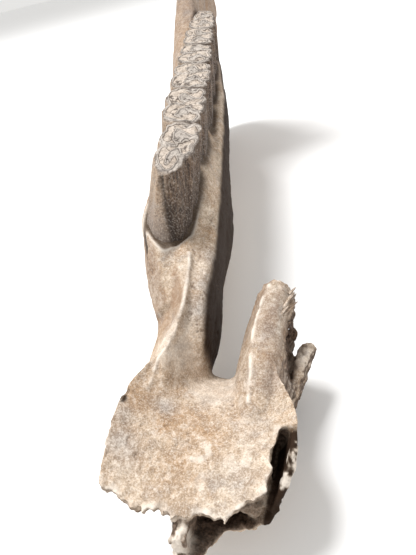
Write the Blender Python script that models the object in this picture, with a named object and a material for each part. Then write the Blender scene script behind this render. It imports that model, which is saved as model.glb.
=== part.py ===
# Fossil horse jaw, life size: right half with six cheek teeth, symphysis and broken left stub.
# Written in millimetres in the jaw's own frame and turned to its rest at the end, in metres.
# Jaw frame: x to the animal's left, y backwards, z up, the chewing plane at z = 0,
# the front of the first cheek tooth at y = 0.
import bpy
import numpy as np
from mathutils import Matrix, Vector

MM = 0.001
GAP = 0.3                # clear slit between two neighbouring pieces
ROUND = 28               # points round a bone section
STEPS = 3                # rows between two stations

# Rest on the floor: nose down by the slope of the lower border, leaning towards the lost side
PITCH = np.radians(7.5)
ROLL = np.radians(8.6)
FLAT = 0.9               # depth of the small flats that it rests on

# Where the pieces part
BETWEEN = 1.5            # x between the two halves
FAR = 400.0              # reach of a cutting box
RAMUS_CUT = 182.0        # y behind the last tooth
BAR_CUT = -34.0          # y in front of the first tooth, on the right bar
STUB_CUT = (9.0, -41.0)  # x, y on the left bar
STUB_TURN = np.radians(-18)
STUB_REACH = 8.0         # how far the stub's box reaches past the middle before it is turned

# Right half. A is the upper edge and B the lower edge of each section;
# then half thickness near A, midway and near B, and how square the section is.
RIGHT_HALF = [
    # A: x    y    z     B: x    y    z     at A  mid   at B  square
    (-13.8, -49, -28.0, -12.5, -45, -60.0, 3.0, 9.5, 6.0, 2.2),
    (-12.3, -31, -24.0, -14.5, -28, -65.0, 3.0, 10.5, 7.0, 2.2),
    (-17.3, -15, -22.0, -18.5, -12, -68.0, 8.5, 13.0, 8.0, 2.6),
    (-22.5, -2, -20.5, -22.5, 3, -72.0, 12.0, 15.0, 8.5, 3.0),
    (-25.5, 23, -14.0, -26.0, 27, -77.5, 12.5, 17.3, 9.5, 3.2),
    (-31.7, 52, -13.0, -32.0, 56, -84.0, 12.5, 17.4, 9.8, 3.2),
    (-38.6, 87, -13.0, -40.0, 89, -90.5, 12.5, 17.0, 10.0, 3.2),
    (-46.4, 122, -10.0, -47.0, 122, -95.0, 13.0, 15.8, 8.5, 3.0),
    (-53.0, 151, -5.0, -54.0, 149, -97.5, 13.0, 13.8, 7.0, 2.8),
    (-58.5, 172, 4.0, -60.0, 176, -103.0, 8.5, 10.5, 7.0, 2.5),
    (-61.5, 183, 16.0, -64.5, 206, -110.0, 6.0, 6.5, 8.0, 2.3),
    (-63.5, 191, 34.0, -67.5, 237, -106.0, 5.0, 4.5, 8.0, 2.2),
    (-65.5, 198, 52.0, -69.5, 264, -84.0, 4.5, 4.0, 8.0, 2.2),
    (-67.5, 205, 70.0, -71.0, 279, -50.0, 4.5, 3.8, 7.0, 2.2),
    (-69.5, 215, 84.0, -72.5, 284, -12.0, 4.5, 3.8, 6.5, 2.2),
    (-71.5, 227, 93.0, -73.5, 282, 22.0, 4.5, 4.0, 6.5, 2.2),
    (-73.5, 239, 99.0, -74.5, 278, 54.0, 5.0, 4.5, 7.0, 2.2),
    (-75.5, 249, 105.0, -75.5, 275, 84.0, 7.0, 7.5, 8.0, 2.2),
    (-76.5, 253, 112.0, -76.5, 273, 104.0, 8.0, 8.5, 8.0, 2.2),
]

# Coronoid process: x, y, z of the section's middle, half length, half thickness
CORONOID = [
    (-66.5, 219.0, 60.0, 16.0, 3.4),
    (-68.5, 220.0, 80.0, 14.5, 3.4),
    (-70.0, 221.0, 98.0, 12.0, 3.4),
    (-70.5, 222.0, 116.0, 10.0, 3.4),
    (-70.5, 225.0, 133.0, 8.0, 3.2),
    (-70.0, 229.0, 146.0, 5.0, 2.6),
    (-69.5, 232.0, 151.0, 2.5, 1.8),
]

# Condyle: a bar across the top of the neck
CONDYLE = dict(middle=(-77.5, 264.0, 114.0), half=(23.0, 9.5, 8.0), turn=np.radians(-12))

# Symphysis: y, x of its middle, half width, rim height, dish of the upper face, underside
SPOON = [
    (-102.0, 2.2, 18.2, -28.0, 2.0, -41.0),
    (-92.5, 2.2, 19.6, -28.0, 2.5, -43.0),
    (-81.5, 2.0, 21.0, -27.5, 4.0, -47.0),
    (-68.5, 1.9, 22.9, -27.0, 6.5, -52.0),
    (-59.0, 1.8, 21.5, -27.5, 8.5, -57.0),
    (-50.0, 1.8, 16.8, -28.0, 12.0, -61.0),
    (-42.0, 1.8, 13.9, -28.5, 17.0, -63.0),
    (-34.5, 1.8, 13.0, -29.0, 22.0, -63.0),
]
LEAN = 0.05              # sideways drift of the symphysis for each mm down
LIP = 1.5                # height of its side under the rim
NOTCH = -41.5            # y of the notch between the two bars
WALL = 3.0               # thickness of the broken upper plate and lower shell
POCKET_BACK = -63.5      # y where the broken front turns solid

# Broken edges, as (place across from -1 to 1, y)
PLATE_EDGE = [(-1.0, -82), (-0.93, -86), (-0.77, -85.7), (-0.54, -88.6), (-0.28, -86.7),
              (-0.04, -88.7), (0.14, -86.4), (0.26, -85.6), (0.5, -86.9), (0.6, -87.2), (0.7, -83.7),
              (0.9, -81.8), (1.0, -80.6)]
SHELL_EDGE = [(-1.0, -79.6), (-0.7, -83.4), (-0.3, -86.2), (-0.06, -89), (0.0, -97.3), (0.07, -97.3),
              (0.13, -89), (0.24, -85.7), (0.5, -83.4), (0.7, -82), (0.85, -78.7), (1.0, -72.2)]
PLATE_RIGHT = 0.78       # the plate stops short of the left wall, which leaves a slot
THIN_WALL = 0.6          # share of the wall's thickness beside that slot
# Broken walls between the front sockets: x, thickness, y of the front end
SEPTA = [(2.4, 3.6, -89.0)]

# Left stub: as the right half's sections
STUB = [
    (15.0, -67, -30.0, 9.5, -65, -53.0, 4.0, 7.5, 6.0, 2.2),
    (12.5, -56, -29.5, 12.8, -53, -58.0, 3.3, 8.5, 6.2, 2.2),
    (11.6, -46, -28.5, 15.6, -42, -63.5, 3.3, 8.5, 6.2, 2.3),
    (12.2, -35, -26.0, 18.7, -32, -65.8, 3.3, 8.0, 6.2, 2.3),
    (13.6, -26, -25.0, 21.2, -23, -63.5, 3.3, 7.0, 5.2, 2.3),
    (14.0, -20, -26.0, 19.2, -19, -44.0, 2.8, 5.2, 3.3, 2.0),
]
STUB_PRONG = [
    (19.3, -48, -46.0, 17.0, -48, -59.0, 2.0, 3.4, 2.4, 2.0),
    (23.0, -37, -45.0, 20.8, -36, -57.0, 2.0, 3.0, 2.2, 2.0),
    (26.7, -26, -45.0, 24.8, -26, -52.0, 1.5, 2.3, 1.6, 2.0),
]
STUB_HOLLOW = dict(middle=(16.5, -18.0, -42.0), half=(4.9, 22.5, 8.0), turn=np.radians(-8))
STUB_BITE = dict(middle=(26.7, -21.0, -38.0), half=(8.0, 18.0, 6.2), turn=np.radians(-12))

# Cheek teeth, from the front
TEETH = [
    # length width  x of the middle, lean of the crown to the back, growth of the width to the back
    (34.0, 14.6, -24.9, 13.0, 0.22),
    (30.5, 16.8, -29.4, 6.0, 0.04),
    (28.0, 17.2, -34.1, 2.0, 0.0),
    (25.0, 16.5, -38.7, 0.0, -0.03),
    (25.0, 15.5, -43.1, -2.0, -0.03),
    (32.5, 13.2, -47.4, -6.0, -0.25),
]
ROW_SLANT = -0.155       # how far the row swings outwards for each mm back
TOOTH_SPACE = 0.4        # how far neighbours run into each other along the row
ROOT = 15.0              # how deep a root is sunk below the rim of the bone
TOOTH_AROUND = 26

# One skin over the joined forms
VOXEL = 1.2
SMOOTHING = 5
BONE_FACES = 8500

COLOURS = {
    "symphysis": (0.46, 0.36, 0.26, 1),
    "left_stub": (0.42, 0.33, 0.25, 1),
    "right_body": (0.40, 0.31, 0.23, 1),
    "right_ramus": (0.52, 0.41, 0.29, 1),
}


def clear_scene():
    for item in list(bpy.data.objects):
        bpy.data.objects.remove(item)


def smooth_rows(table, steps=STEPS):
    """Rows of a smooth curve through a table's rows, by Catmull-Rom."""
    rows = np.asarray(table, float)
    last = len(rows) - 1
    at = np.linspace(0, last, last * steps + 1)
    start = np.minimum(at.astype(int), last - 1)
    t = (at - start)[:, None]
    before, here, after, beyond = (rows[np.clip(start + k, 0, last)] for k in (-1, 0, 1, 2))
    return (here + 0.5 * t * (after - before)
            + t**2 * (before - 2.5 * here + 2 * after - 0.5 * beyond)
            + t**3 * (-0.5 * before + 1.5 * here - 1.5 * after + 0.5 * beyond))


def section_rings(table, around=ROUND, steps=STEPS):
    """Rings round the line from A to B, with three half thicknesses and a squareness."""
    rows = smooth_rows(table, steps)
    top, bottom = rows[:, 0:3], rows[:, 3:6]
    near_top, midway, near_bottom, square = rows[:, 6:10].T[:, :, None]
    down = bottom - top
    length = np.linalg.norm(down, axis=1, keepdims=True)
    down = down / length
    side = np.array([1.0, 0.0, 0.0]) - down * down[:, :1]
    side /= np.linalg.norm(side, axis=1, keepdims=True)
    angle = np.linspace(0, 2 * np.pi, around, endpoint=False)
    power = 2 / square
    up = np.sign(np.cos(angle)) * np.abs(np.cos(angle)) ** power
    out = np.sign(np.sin(angle)) * np.abs(np.sin(angle)) ** power
    high = np.clip(up, 0, 1)
    low = np.clip(-up, 0, 1)
    width = (midway + (near_top - midway) * high**2 * (3 - 2 * high)
             + (near_bottom - midway) * low**2 * (3 - 2 * low))
    middle = (top + bottom) / 2
    return (middle[:, None] - down[:, None] * (up * length / 2)[:, :, None]
            + side[:, None] * (out * width)[:, :, None])


def ring_mesh(rings):
    """Closed skin over rows of rings, with a fan at either end."""
    rows, around, _ = rings.shape
    i = np.arange(rows - 1)[:, None] * around
    j = np.arange(around)[None, :]
    k = (j + 1) % around
    quads = np.stack([i + j, i + k, i + k + around, i + j + around], -1).reshape(-1, 4)
    points = np.vstack([rings.reshape(-1, 3), rings[0].mean(0), rings[-1].mean(0)])
    first = rows * around
    end = (rows - 1) * around
    faces = quads.tolist()
    faces += [(first, (n + 1) % around, n) for n in range(around)]
    faces += [(first + 1, end + n, end + (n + 1) % around) for n in range(around)]
    return points, faces


def add_object(name, points, faces):
    """Mesh object from points in millimetres, its faces turned outwards."""
    mesh = bpy.data.meshes.new(name)
    mesh.from_pydata((np.asarray(points) * MM).tolist(), [], faces)
    item = bpy.data.objects.new(name, mesh)
    bpy.context.scene.collection.objects.link(item)
    return outwards(item)


def outwards(item):
    mesh = item.data
    mesh.calc_loop_triangles()
    corners = np.array([v.co for v in mesh.vertices])[[t.vertices[:] for t in mesh.loop_triangles]]
    volume = np.einsum("ij,ij->i", corners[:, 0], np.cross(corners[:, 1], corners[:, 2])).sum()
    if volume < 0:
        mesh.flip_normals()
    return item


def ellipsoid(name, middle, half, turn=0.0, around=18, rows=10):
    """Ball stretched to three half sizes and turned about the vertical."""
    lat = np.linspace(0, np.pi, rows + 1)[1:-1, None]
    lon = np.linspace(0, 2 * np.pi, around, endpoint=False)[None, :]
    rings = np.stack([np.cos(lat) + 0 * lon, np.sin(lat) * np.cos(lon), np.sin(lat) * np.sin(lon)], -1)
    points, faces = ring_mesh(rings)
    points[-2:] = [(1, 0, 0), (-1, 0, 0)]
    points = points * half
    spin = np.array([[np.cos(turn), np.sin(turn), 0], [-np.sin(turn), np.cos(turn), 0], [0, 0, 1]])
    return add_object(name, points @ spin + middle, faces)


def ragged(edge, place):
    """Height of a broken edge at places across, straight between its teeth."""
    across, reach = np.array(edge, float).T
    return np.interp(place, across, reach)


def spoon_at(y):
    """Middle, half width, rim, dish and underside of the symphysis at each y."""
    rows = smooth_rows(SPOON, 8)
    return [np.interp(y, rows[:, 0], rows[:, n]) for n in range(1, 6)]


def upper_face(place, y):
    """Concave upper face of the symphysis: x and z, with place from -1 to 1 across."""
    middle, wide, rim, dish, _ = spoon_at(y)
    return middle + wide * place, rim - dish * (1 - np.abs(place) ** 2.2)


def lower_face(place, y, inset=0.0):
    """Convex underside of the symphysis, drawn in by a wall's thickness where asked."""
    middle, wide, rim, _, under = spoon_at(y)
    bend = place * np.pi / 2
    z = rim - LIP + (under - rim + LIP + inset) * np.abs(np.cos(bend)) ** 0.8
    x = middle + (wide - inset) * np.sign(bend) * np.abs(np.sin(bend)) ** 0.8
    return x + LEAN * (z - rim), z


def sheet_mesh(top, bottom):
    """Closed body between two grids of points of the same size."""
    rows, columns, _ = top.shape
    count = rows * columns
    grid = np.arange(count).reshape(rows, columns)
    quads = np.stack([grid[:-1, :-1], grid[:-1, 1:], grid[1:, 1:], grid[1:, :-1]], -1).reshape(-1, 4)
    border = np.concatenate([grid[0, :-1], grid[:-1, -1], grid[-1, :0:-1], grid[:0:-1, 0]])
    following = np.roll(border, -1)
    rim = np.stack([following, border, border + count, following + count], -1)
    faces = quads.tolist() + (quads[:, ::-1] + count).tolist() + rim.tolist()
    return np.vstack([top.reshape(-1, 3), bottom.reshape(-1, 3)]), faces


def symphysis_core():
    """Solid rear of the symphysis, from the pockets back to the notch."""
    place = np.linspace(-1, 1, 21)[None, :]
    part = np.linspace(0, 1, 12)[:, None]
    y = POCKET_BACK + part * (NOTCH + 6 * place**2 - POCKET_BACK)
    x, z = upper_face(place, y)
    top = np.stack([x, y + 0 * place, z], -1)
    x, z = lower_face(place, y)
    bottom = np.stack([x, y + 0 * place, z], -1)
    return add_object("core", *sheet_mesh(top, bottom))


def upper_plate():
    """Broken upper plate over the front pockets."""
    place = np.linspace(-1, 1, 29)[None, :]
    part = np.linspace(0, 1, 7)[:, None]
    back = POCKET_BACK + 3
    y = back + part * (ragged(PLATE_EDGE, place) - back)
    across = np.where(place > 0, place * PLATE_RIGHT, place)
    x, z = upper_face(across, y)
    top = np.stack([x, y, z], -1)
    bottom = top - (0, 0, WALL)
    return add_object("plate", *sheet_mesh(top, bottom))


def lower_shell():
    """Broken lower shell under the front pockets, with its splinter."""
    place = np.linspace(-1, 1, 33)[None, :]
    part = np.linspace(0, 1, 7)[:, None]
    back = POCKET_BACK + 3
    y = back + part * (ragged(SHELL_EDGE, place) - back)
    x, z = lower_face(place, y)
    outer = np.stack([x, y, z], -1)
    x, z = lower_face(place, y, WALL * np.where(place > 0.5, THIN_WALL, 1.0))
    inner = np.stack([x, y, z], -1)
    return add_object("shell", *sheet_mesh(inner, outer))


def septum(x, thickness, front):
    """Wall between two front sockets, from the upper plate down to the lower shell."""
    middle, back = (front + POCKET_BACK) / 2, POCKET_BACK + 3
    rows = [(x, y, -33.5 - drop, x, y, -44.0 - drop, thickness / 2, thickness / 2.4, thickness / 2, 3.0)
            for y, drop in ((back, 5.0), (middle, 2.5), (front, 0.0))]
    return add_object("septum", *ring_mesh(section_rings(rows, 12)))


def tooth_mesh(length, width, middle, lean, growth, front):
    """One cheek tooth: a lobed outline carried from its sunk root to the chewing plane."""
    angle = np.linspace(0, 2 * np.pi, TOOTH_AROUND, endpoint=False)
    along = np.sign(np.cos(angle)) * np.abs(np.cos(angle)) ** 0.45
    across = np.sign(np.sin(angle)) * np.abs(np.sin(angle)) ** 0.5
    fold = np.exp(-(along / 0.16) ** 2)
    cheek = across < 0
    across = across * (1 - np.where(cheek, 0.20, 0.14) * fold)
    rings = []
    for height, grow in ((-ROOT - 14, 0.8), (-16, 0.96), (-4, 1.0), (-0.8, 0.98), (0, 0.93)):
        y = along * grow * (length / 2 + TOOTH_SPACE)
        x = middle + across * grow * width / 2 * (1 + growth * along) + ROW_SLANT * y
        y = y + front + length / 2 + lean * height / 24
        rings.append(np.stack([x, y, np.full_like(y, height)], -1))
    return ring_mesh(np.array(rings))


def add_teeth():
    """Row of six teeth, from the front, each behind the last."""
    front = 0.0
    made = []
    for number, sizes in enumerate(TEETH):
        made.append(add_object(f"tooth{number}", *tooth_mesh(*sizes, front)))
        front += sizes[0]
    return made


def modify(item, kind, **values):
    """Add a modifier, apply it and drop it."""
    change = item.modifiers.new(kind.lower(), kind)
    for key, value in values.items():
        setattr(change, key, value)
    bpy.context.view_layer.update()
    ready = item.evaluated_get(bpy.context.evaluated_depsgraph_get())
    mesh = bpy.data.meshes.new_from_object(ready)
    item.modifiers.clear()
    item.data = mesh
    return item


def combine(item, others, operation):
    """Boolean of one object with a collection of closed ones, which are then removed."""
    group = bpy.data.collections.new("others")
    bpy.context.scene.collection.children.link(group)
    for other in others:
        bpy.context.scene.collection.objects.unlink(other)
        group.objects.link(other)
    modify(item, "BOOLEAN", operation=operation, operand_type="COLLECTION", collection=group)
    for other in others:
        bpy.data.objects.remove(other)
    bpy.data.collections.remove(group)
    return item


def box(name, low, high, turn=0.0, pivot=(0.0, 0.0)):
    """Cutting box between two corners, turned about a vertical line."""
    corners = np.array([[(low, high)[i][0], (low, high)[j][1], (low, high)[k][2]]
                        for i in (0, 1) for j in (0, 1) for k in (0, 1)], float)
    flat = corners[:, :2] - pivot
    spin = np.array([[np.cos(turn), np.sin(turn)], [-np.sin(turn), np.cos(turn)]])
    corners[:, :2] = flat @ spin + pivot
    faces = [(0, 1, 3, 2), (4, 6, 7, 5), (0, 4, 5, 1), (2, 3, 7, 6), (0, 2, 6, 4), (1, 5, 7, 3)]
    return add_object(name, corners, faces)


def copy_of(item, name):
    twin = item.copy()
    twin.data = item.data.copy()
    twin.name = name
    bpy.context.scene.collection.objects.link(twin)
    return twin


def keep_largest(item):
    """Keep only the largest closed surface of a mesh."""
    mesh = item.data
    owner = list(range(len(mesh.vertices)))

    def root(n):
        while owner[n] != n:
            owner[n] = owner[owner[n]]
            n = owner[n]
        return n

    for edge in mesh.edges:
        a, b = (root(n) for n in edge.vertices)
        owner[a] = b
    groups = {}
    for face in mesh.polygons:
        groups.setdefault(root(face.vertices[0]), []).append(face)
    best = max(groups.values(), key=lambda faces: sum(f.area for f in faces))
    used = sorted({n for face in best for n in face.vertices})
    place = {n: k for k, n in enumerate(used)}
    fresh = bpy.data.meshes.new(item.name)
    fresh.from_pydata([mesh.vertices[n].co[:] for n in used], [],
                      [[place[n] for n in face.vertices] for face in best])
    item.data = fresh
    return item


def whole_bone():
    """The bone in one piece: forms joined, then the hollow of the stub cut."""
    bone = add_object("bone", *ring_mesh(section_rings(RIGHT_HALF)))
    rows = smooth_rows(CORONOID)
    blade = [(x, y - half, z, x, y + half, z, thick * 0.7, thick, thick * 0.7, 2.0)
             for x, y, z, half, thick in rows]
    joined = [
        add_object("coronoid", *ring_mesh(section_rings(blade, 14, 1))),
        ellipsoid("condyle", **CONDYLE),
        symphysis_core(),
        upper_plate(),
        lower_shell(),
        *[septum(*sizes) for sizes in SEPTA],
        add_object("stub", *ring_mesh(section_rings(STUB, 20))),
    ]
    combine(bone, joined, "UNION")
    combine(bone, [ellipsoid("hollow", **STUB_HOLLOW), ellipsoid("bite", **STUB_BITE)], "DIFFERENCE")
    prong = add_object("prong", *ring_mesh(section_rings(STUB_PRONG, 12)))
    combine(bone, [prong], "UNION")
    modify(bone, "REMESH", mode="VOXEL", voxel_size=VOXEL * MM)
    modify(bone, "SMOOTH", factor=0.5, iterations=SMOOTHING)
    faces = len(bone.data.polygons) * 2
    return modify(bone, "DECIMATE", ratio=BONE_FACES / faces)


def region(name, grow=0.0):
    """Space that belongs to one piece, grown by the gap where it clears a neighbour."""
    if name == "right_body":
        return box("space", (-FAR, BAR_CUT - grow, -FAR), (BETWEEN, RAMUS_CUT - GAP, FAR))
    if name == "right_ramus":
        return box("space", (-FAR, RAMUS_CUT - grow, -FAR), (BETWEEN, FAR, FAR))
    if name == "right_half":
        return box("space", (-FAR, BAR_CUT - grow, -FAR), (BETWEEN, FAR, FAR))
    x, y = STUB_CUT
    return box("space", (BETWEEN - STUB_REACH, y - grow, -FAR), (FAR, FAR, FAR), STUB_TURN, (x, y))


def paint(item, colour):
    finish = bpy.data.materials.new(item.name)
    finish.use_nodes = True
    shader = finish.node_tree.nodes["Principled BSDF"]
    shader.inputs["Base Color"].default_value = colour
    shader.inputs["Roughness"].default_value = 0.8
    shader.inputs["Metallic"].default_value = 0.0
    item.data.materials.clear()
    item.data.materials.append(finish)


def rest_turn():
    return Matrix.Rotation(ROLL, 4, "Y") @ Matrix.Rotation(PITCH, 4, "X")


def build():
    clear_scene()
    bone = whole_bone()
    pieces = []
    for name in ("right_body", "right_ramus", "left_stub"):
        piece = copy_of(bone, name)
        combine(piece, [region(name)], "INTERSECT")
        pieces.append(piece)
    body = pieces[0]
    combine(body, add_teeth(), "UNION")
    bone.name = "symphysis"
    combine(bone, [region("right_half", GAP), region("left_stub", GAP)], "DIFFERENCE")
    pieces.append(bone)

    turn = rest_turn()
    for piece in pieces:
        piece.data.transform(turn)
        keep_largest(piece)
    points = np.array([v.co[:] for piece in pieces for v in piece.data.vertices])
    low, high = points.min(0), points.max(0)
    shift = Vector((-(low[0] + high[0]) / 2, -(low[1] + high[1]) / 2, -low[2] - FLAT * MM))
    for piece in pieces:
        piece.data.transform(Matrix.Translation(shift))
        if min(v.co.z for v in piece.data.vertices) < 0:
            floor = box("floor", (-FAR, -FAR, -FAR), (FAR, FAR, 0))
            combine(piece, [floor], "DIFFERENCE")
            keep_largest(piece)
        paint(piece, COLOURS[piece.name])
        piece.data.shade_smooth()
        piece.data.set_sharp_from_angle(angle=np.radians(40))
        print(piece.name, len(piece.data.vertices), "points",
              sum(len(f.vertices) - 2 for f in piece.data.polygons), "triangles")


build()
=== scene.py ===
import bpy
import numpy as np
from mathutils import Matrix


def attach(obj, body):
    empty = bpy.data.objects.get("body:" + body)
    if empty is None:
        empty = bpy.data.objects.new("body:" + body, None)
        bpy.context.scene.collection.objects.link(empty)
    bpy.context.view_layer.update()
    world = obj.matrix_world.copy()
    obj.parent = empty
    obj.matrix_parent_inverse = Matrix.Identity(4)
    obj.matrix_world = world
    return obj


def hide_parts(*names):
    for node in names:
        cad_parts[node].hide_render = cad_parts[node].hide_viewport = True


# Looks of a fossil horse jaw: weathered bone, six worn cheek teeth, broken front and stub.
# Shapes are worked out in millimetres in the jaw's own frame: x to its left, y backwards,
# z up from the chewing plane, and are then turned to their place on the floor.
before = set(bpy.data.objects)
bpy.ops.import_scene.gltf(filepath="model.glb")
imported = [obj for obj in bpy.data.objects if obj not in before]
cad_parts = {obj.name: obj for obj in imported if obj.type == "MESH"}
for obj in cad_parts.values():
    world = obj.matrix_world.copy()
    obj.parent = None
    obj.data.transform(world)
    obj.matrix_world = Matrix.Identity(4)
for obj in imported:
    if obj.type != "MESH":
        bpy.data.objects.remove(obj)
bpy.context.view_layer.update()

# How the jaw lies on the floor, and the planes that part its pieces
rest = dict(pitch=7.5, roll=8.6, shift=(30.418, -96.397, 70.421))
cuts = dict(bar=-34, overlap=4, ramus=182, midline=3, between=1.5,
            stub=(9, -41), stubTurn=-18, stubFrom=-1)
far = 500  # beyond every point of the jaw


def turnMatrix(pitch, roll):
    # Turn about x by the pitch, then about y by the roll
    a, b = np.radians(pitch), np.radians(roll)
    aboutX = np.array([[1, 0, 0], [0, np.cos(a), -np.sin(a)], [0, np.sin(a), np.cos(a)]])
    aboutY = np.array([[np.cos(b), 0, np.sin(b)], [0, 1, 0], [-np.sin(b), 0, np.cos(b)]])
    return aboutY @ aboutX


jawTurn = turnMatrix(rest["pitch"], rest["roll"])


def toFloor(points):
    # Jaw millimetres to metres on the floor
    return (np.asarray(points) @ jawTurn.T + rest["shift"]) * 0.001


def toJaw(points):
    # Metres on the floor back to jaw millimetres
    return (points * 1000 - rest["shift"]) @ jawTurn


def newObject(name, data):
    # Object at the origin, put into the scene
    item = bpy.data.objects.new(name, data)
    bpy.context.scene.collection.objects.link(item)
    return item


# Camera: place in jaw mm, degrees, focal length and picture height in pixels
view = dict(place=(24.8, -119, 74.7), yaw=-17.8, pitch=43.8, roll=-7.5, focal=461.5, height=555)
# Lamp: where it comes from and points at, its power, its size and distance in metres
light = dict(keyFrom=(-0.31, 0.12, 0.94), keyAt=(-15, 0, -30), keyPower=76, keySize=0.90, keyFar=2.6,
             skyTone=(1.0, 0.99, 0.97), skyStrength=0.80, floorTone=0.90, floorReach=60)


def addCamera():
    # Line of sight from yaw and pitch, then the frame rolled about it
    yaw, pitch, roll = np.radians([view["yaw"], view["pitch"], view["roll"]])
    ahead = np.array([np.sin(yaw) * np.cos(pitch), np.cos(yaw) * np.cos(pitch), -np.sin(pitch)])
    level = np.cross(ahead, (0, 0, 1))
    level /= np.linalg.norm(level)
    above = np.cross(level, ahead)
    right = np.cos(roll) * level + np.sin(roll) * above
    up = np.cos(roll) * above - np.sin(roll) * level
    axes = jawTurn @ np.stack([right, up, -ahead], 1)
    lens = bpy.data.cameras.new("camera")
    lens.sensor_fit = "VERTICAL"
    lens.sensor_height = 24.0
    lens.lens = lens.sensor_height * view["focal"] / view["height"]
    lens.clip_start = 0.005
    lens.clip_end = 200.0
    camera = newObject("camera", lens)
    place = Matrix(axes.tolist()).to_4x4()
    place.translation = toFloor(view["place"]).tolist()
    camera.matrix_world = place
    bpy.context.scene.camera = camera


def addLight():
    # One broad lamp from the upper left, and an even pale sky
    lamp = bpy.data.lights.new("keyLamp", "AREA")
    lamp.shape = "DISK"
    lamp.size = light["keySize"]
    lamp.energy = light["keyPower"]
    keyLamp = newObject("keyLamp", lamp)
    toward = np.array(light["keyFrom"]) / np.linalg.norm(light["keyFrom"])
    target = toFloor(light["keyAt"])
    place = Matrix.Translation((target + toward * light["keyFar"]).tolist())
    side = np.cross((0, 0, 1), toward)
    side /= np.linalg.norm(side)
    axes = np.stack([side, np.cross(toward, side), toward], 1)
    keyLamp.matrix_world = place @ Matrix(axes.tolist()).to_4x4()
    world = bpy.data.worlds.new("sky")
    world.use_nodes = True
    sky = world.node_tree.nodes["Background"].inputs
    sky["Color"].default_value = (*light["skyTone"], 1)
    sky["Strength"].default_value = light["skyStrength"]
    bpy.context.scene.world = world
    bpy.context.scene.view_settings.view_transform = "Standard"


def addFloor():
    # One pale square, far wider than the view
    reach = light["floorReach"]
    mesh = bpy.data.meshes.new("floor")
    mesh.from_pydata([(-reach, -reach, 0), (reach, -reach, 0), (reach, reach, 0), (-reach, reach, 0)],
                     [], [(0, 1, 2, 3)])
    tone = bpy.data.materials.new("floor")
    tone.use_nodes = True
    shader = tone.node_tree.nodes["Principled BSDF"]
    shader.inputs["Base Color"].default_value = (light["floorTone"],) * 3 + (1,)
    shader.inputs["Roughness"].default_value = 0.9
    mesh.materials.append(tone)
    floor = newObject("floor", mesh)


# Noise, worked out for whole arrays of points
def randomAt(cell, seed):
    # Number from 0 to 1 that depends only on a lattice corner and a seed, scattered by big odd numbers
    n = cell[..., 0] * 374761393 + cell[..., 1] * 668265263 + cell[..., 2] * 1442695041 + seed * 974634777
    n = (n ^ (n >> 13)) * 1274126177
    n = n ^ (n >> 16)
    return (n & 0xFFFFFF) / 0xFFFFFF


def lumps(points, size, seed=0):
    # A random number at each corner of a lattice, blended by a smooth step between corners, -1 to 1
    at = np.asarray(points) / size
    cell = np.floor(at).astype(np.int64)
    part = at - cell
    part = part * part * (3 - 2 * part)
    total = np.zeros(len(at))
    for corner in np.ndindex(2, 2, 2):
        share = np.where(corner, part, 1 - part).prod(1)
        total += share * randomAt(cell + np.array(corner), seed)
    return total * 2 - 1


def nearestSpot(points, size, seed=0):
    # Distance to the nearest of a scatter of spots, one to each cube of a lattice, in cube sizes
    at = np.asarray(points) / size
    cell = np.floor(at).astype(np.int64)
    best = np.full(len(at), 9.0)
    for step in np.ndindex(3, 3, 3):
        near = cell + np.array(step) - 1
        spot = near + np.stack([randomAt(near, seed + k) for k in (1, 2, 3)], 1)
        best = np.minimum(best, np.linalg.norm(at - spot, axis=1))
    return best


def layered(points, size, seed=0, layers=4, falling=0.5):
    # Lumps of ever smaller size added up, each layer weaker than the last
    return sum(falling**k * lumps(points, size / 2**k, seed + 7 * k) for k in range(layers))


def farFromLine(points, line):
    # Shortest distance from each point to a chain of straight pieces
    line = np.asarray(line, float)
    best = np.full(len(points), 1e9)
    for a, b in zip(line[:-1], line[1:]):
        along = b - a
        t = np.clip(((points - a) @ along) / max(along @ along, 1e-9), 0, 1)
        best = np.minimum(best, np.linalg.norm(points - a - t[:, None] * along, axis=1))
    return best


def bump(distance, width):
    # Bell curve, 1 at no distance
    return np.exp(-(distance / width) ** 2)


def ramp(start, full, value):
    # S curve from 0 at the start to 1 where it is full, rising or falling
    t = np.clip((value - start) / (full - start), 0, 1)
    return t * t * (3 - 2 * t)


def blendRows(before, here, after, beyond, t):
    # Catmull-Rom curve between the middle two of four rows
    return (here + 0.5 * t * (after - before)
            + t**2 * (before - 2.5 * here + 2 * after - 0.5 * beyond)
            + t**3 * (-0.5 * before + 1.5 * here - 1.5 * after + 0.5 * beyond))


# Meshes
def smoothRows(table, steps):
    # Smooth curve through the rows of a table
    rows = np.asarray(table, float)
    last = len(rows) - 1
    at = np.linspace(0, last, last * steps + 1)
    start = np.minimum(at.astype(int), last - 1)
    return blendRows(*(rows[np.clip(start + k, 0, last)] for k in (-1, 0, 1, 2)), (at - start)[:, None])


def sectionRings(form):
    # Squared ovals round the line from A to B, their half thickness blended from A over the middle to B
    rows = smoothRows(form["rows"], form["steps"])
    top, bottom = rows[:, 0:3], rows[:, 3:6]
    nearTop, midway, nearBottom, square = rows[:, 6:10].T[:, :, None]
    down = bottom - top
    length = np.linalg.norm(down, axis=1, keepdims=True)
    down = down / length
    side = np.array([1.0, 0.0, 0.0]) - down * down[:, :1]
    side /= np.linalg.norm(side, axis=1, keepdims=True)
    angle = np.linspace(0, 2 * np.pi, form["around"], endpoint=False)
    power = 2 / square
    up = np.sign(np.cos(angle)) * np.abs(np.cos(angle)) ** power
    out = np.sign(np.sin(angle)) * np.abs(np.sin(angle)) ** power
    high, low = np.clip(up, 0, 1), np.clip(-up, 0, 1)
    width = (midway + (nearTop - midway) * high**2 * (3 - 2 * high)
             + (nearBottom - midway) * low**2 * (3 - 2 * low))
    middle = (top + bottom) / 2
    return (middle[:, None] - down[:, None] * (up * length / 2)[:, :, None]
            + side[:, None] * (out * width)[:, :, None])


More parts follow.
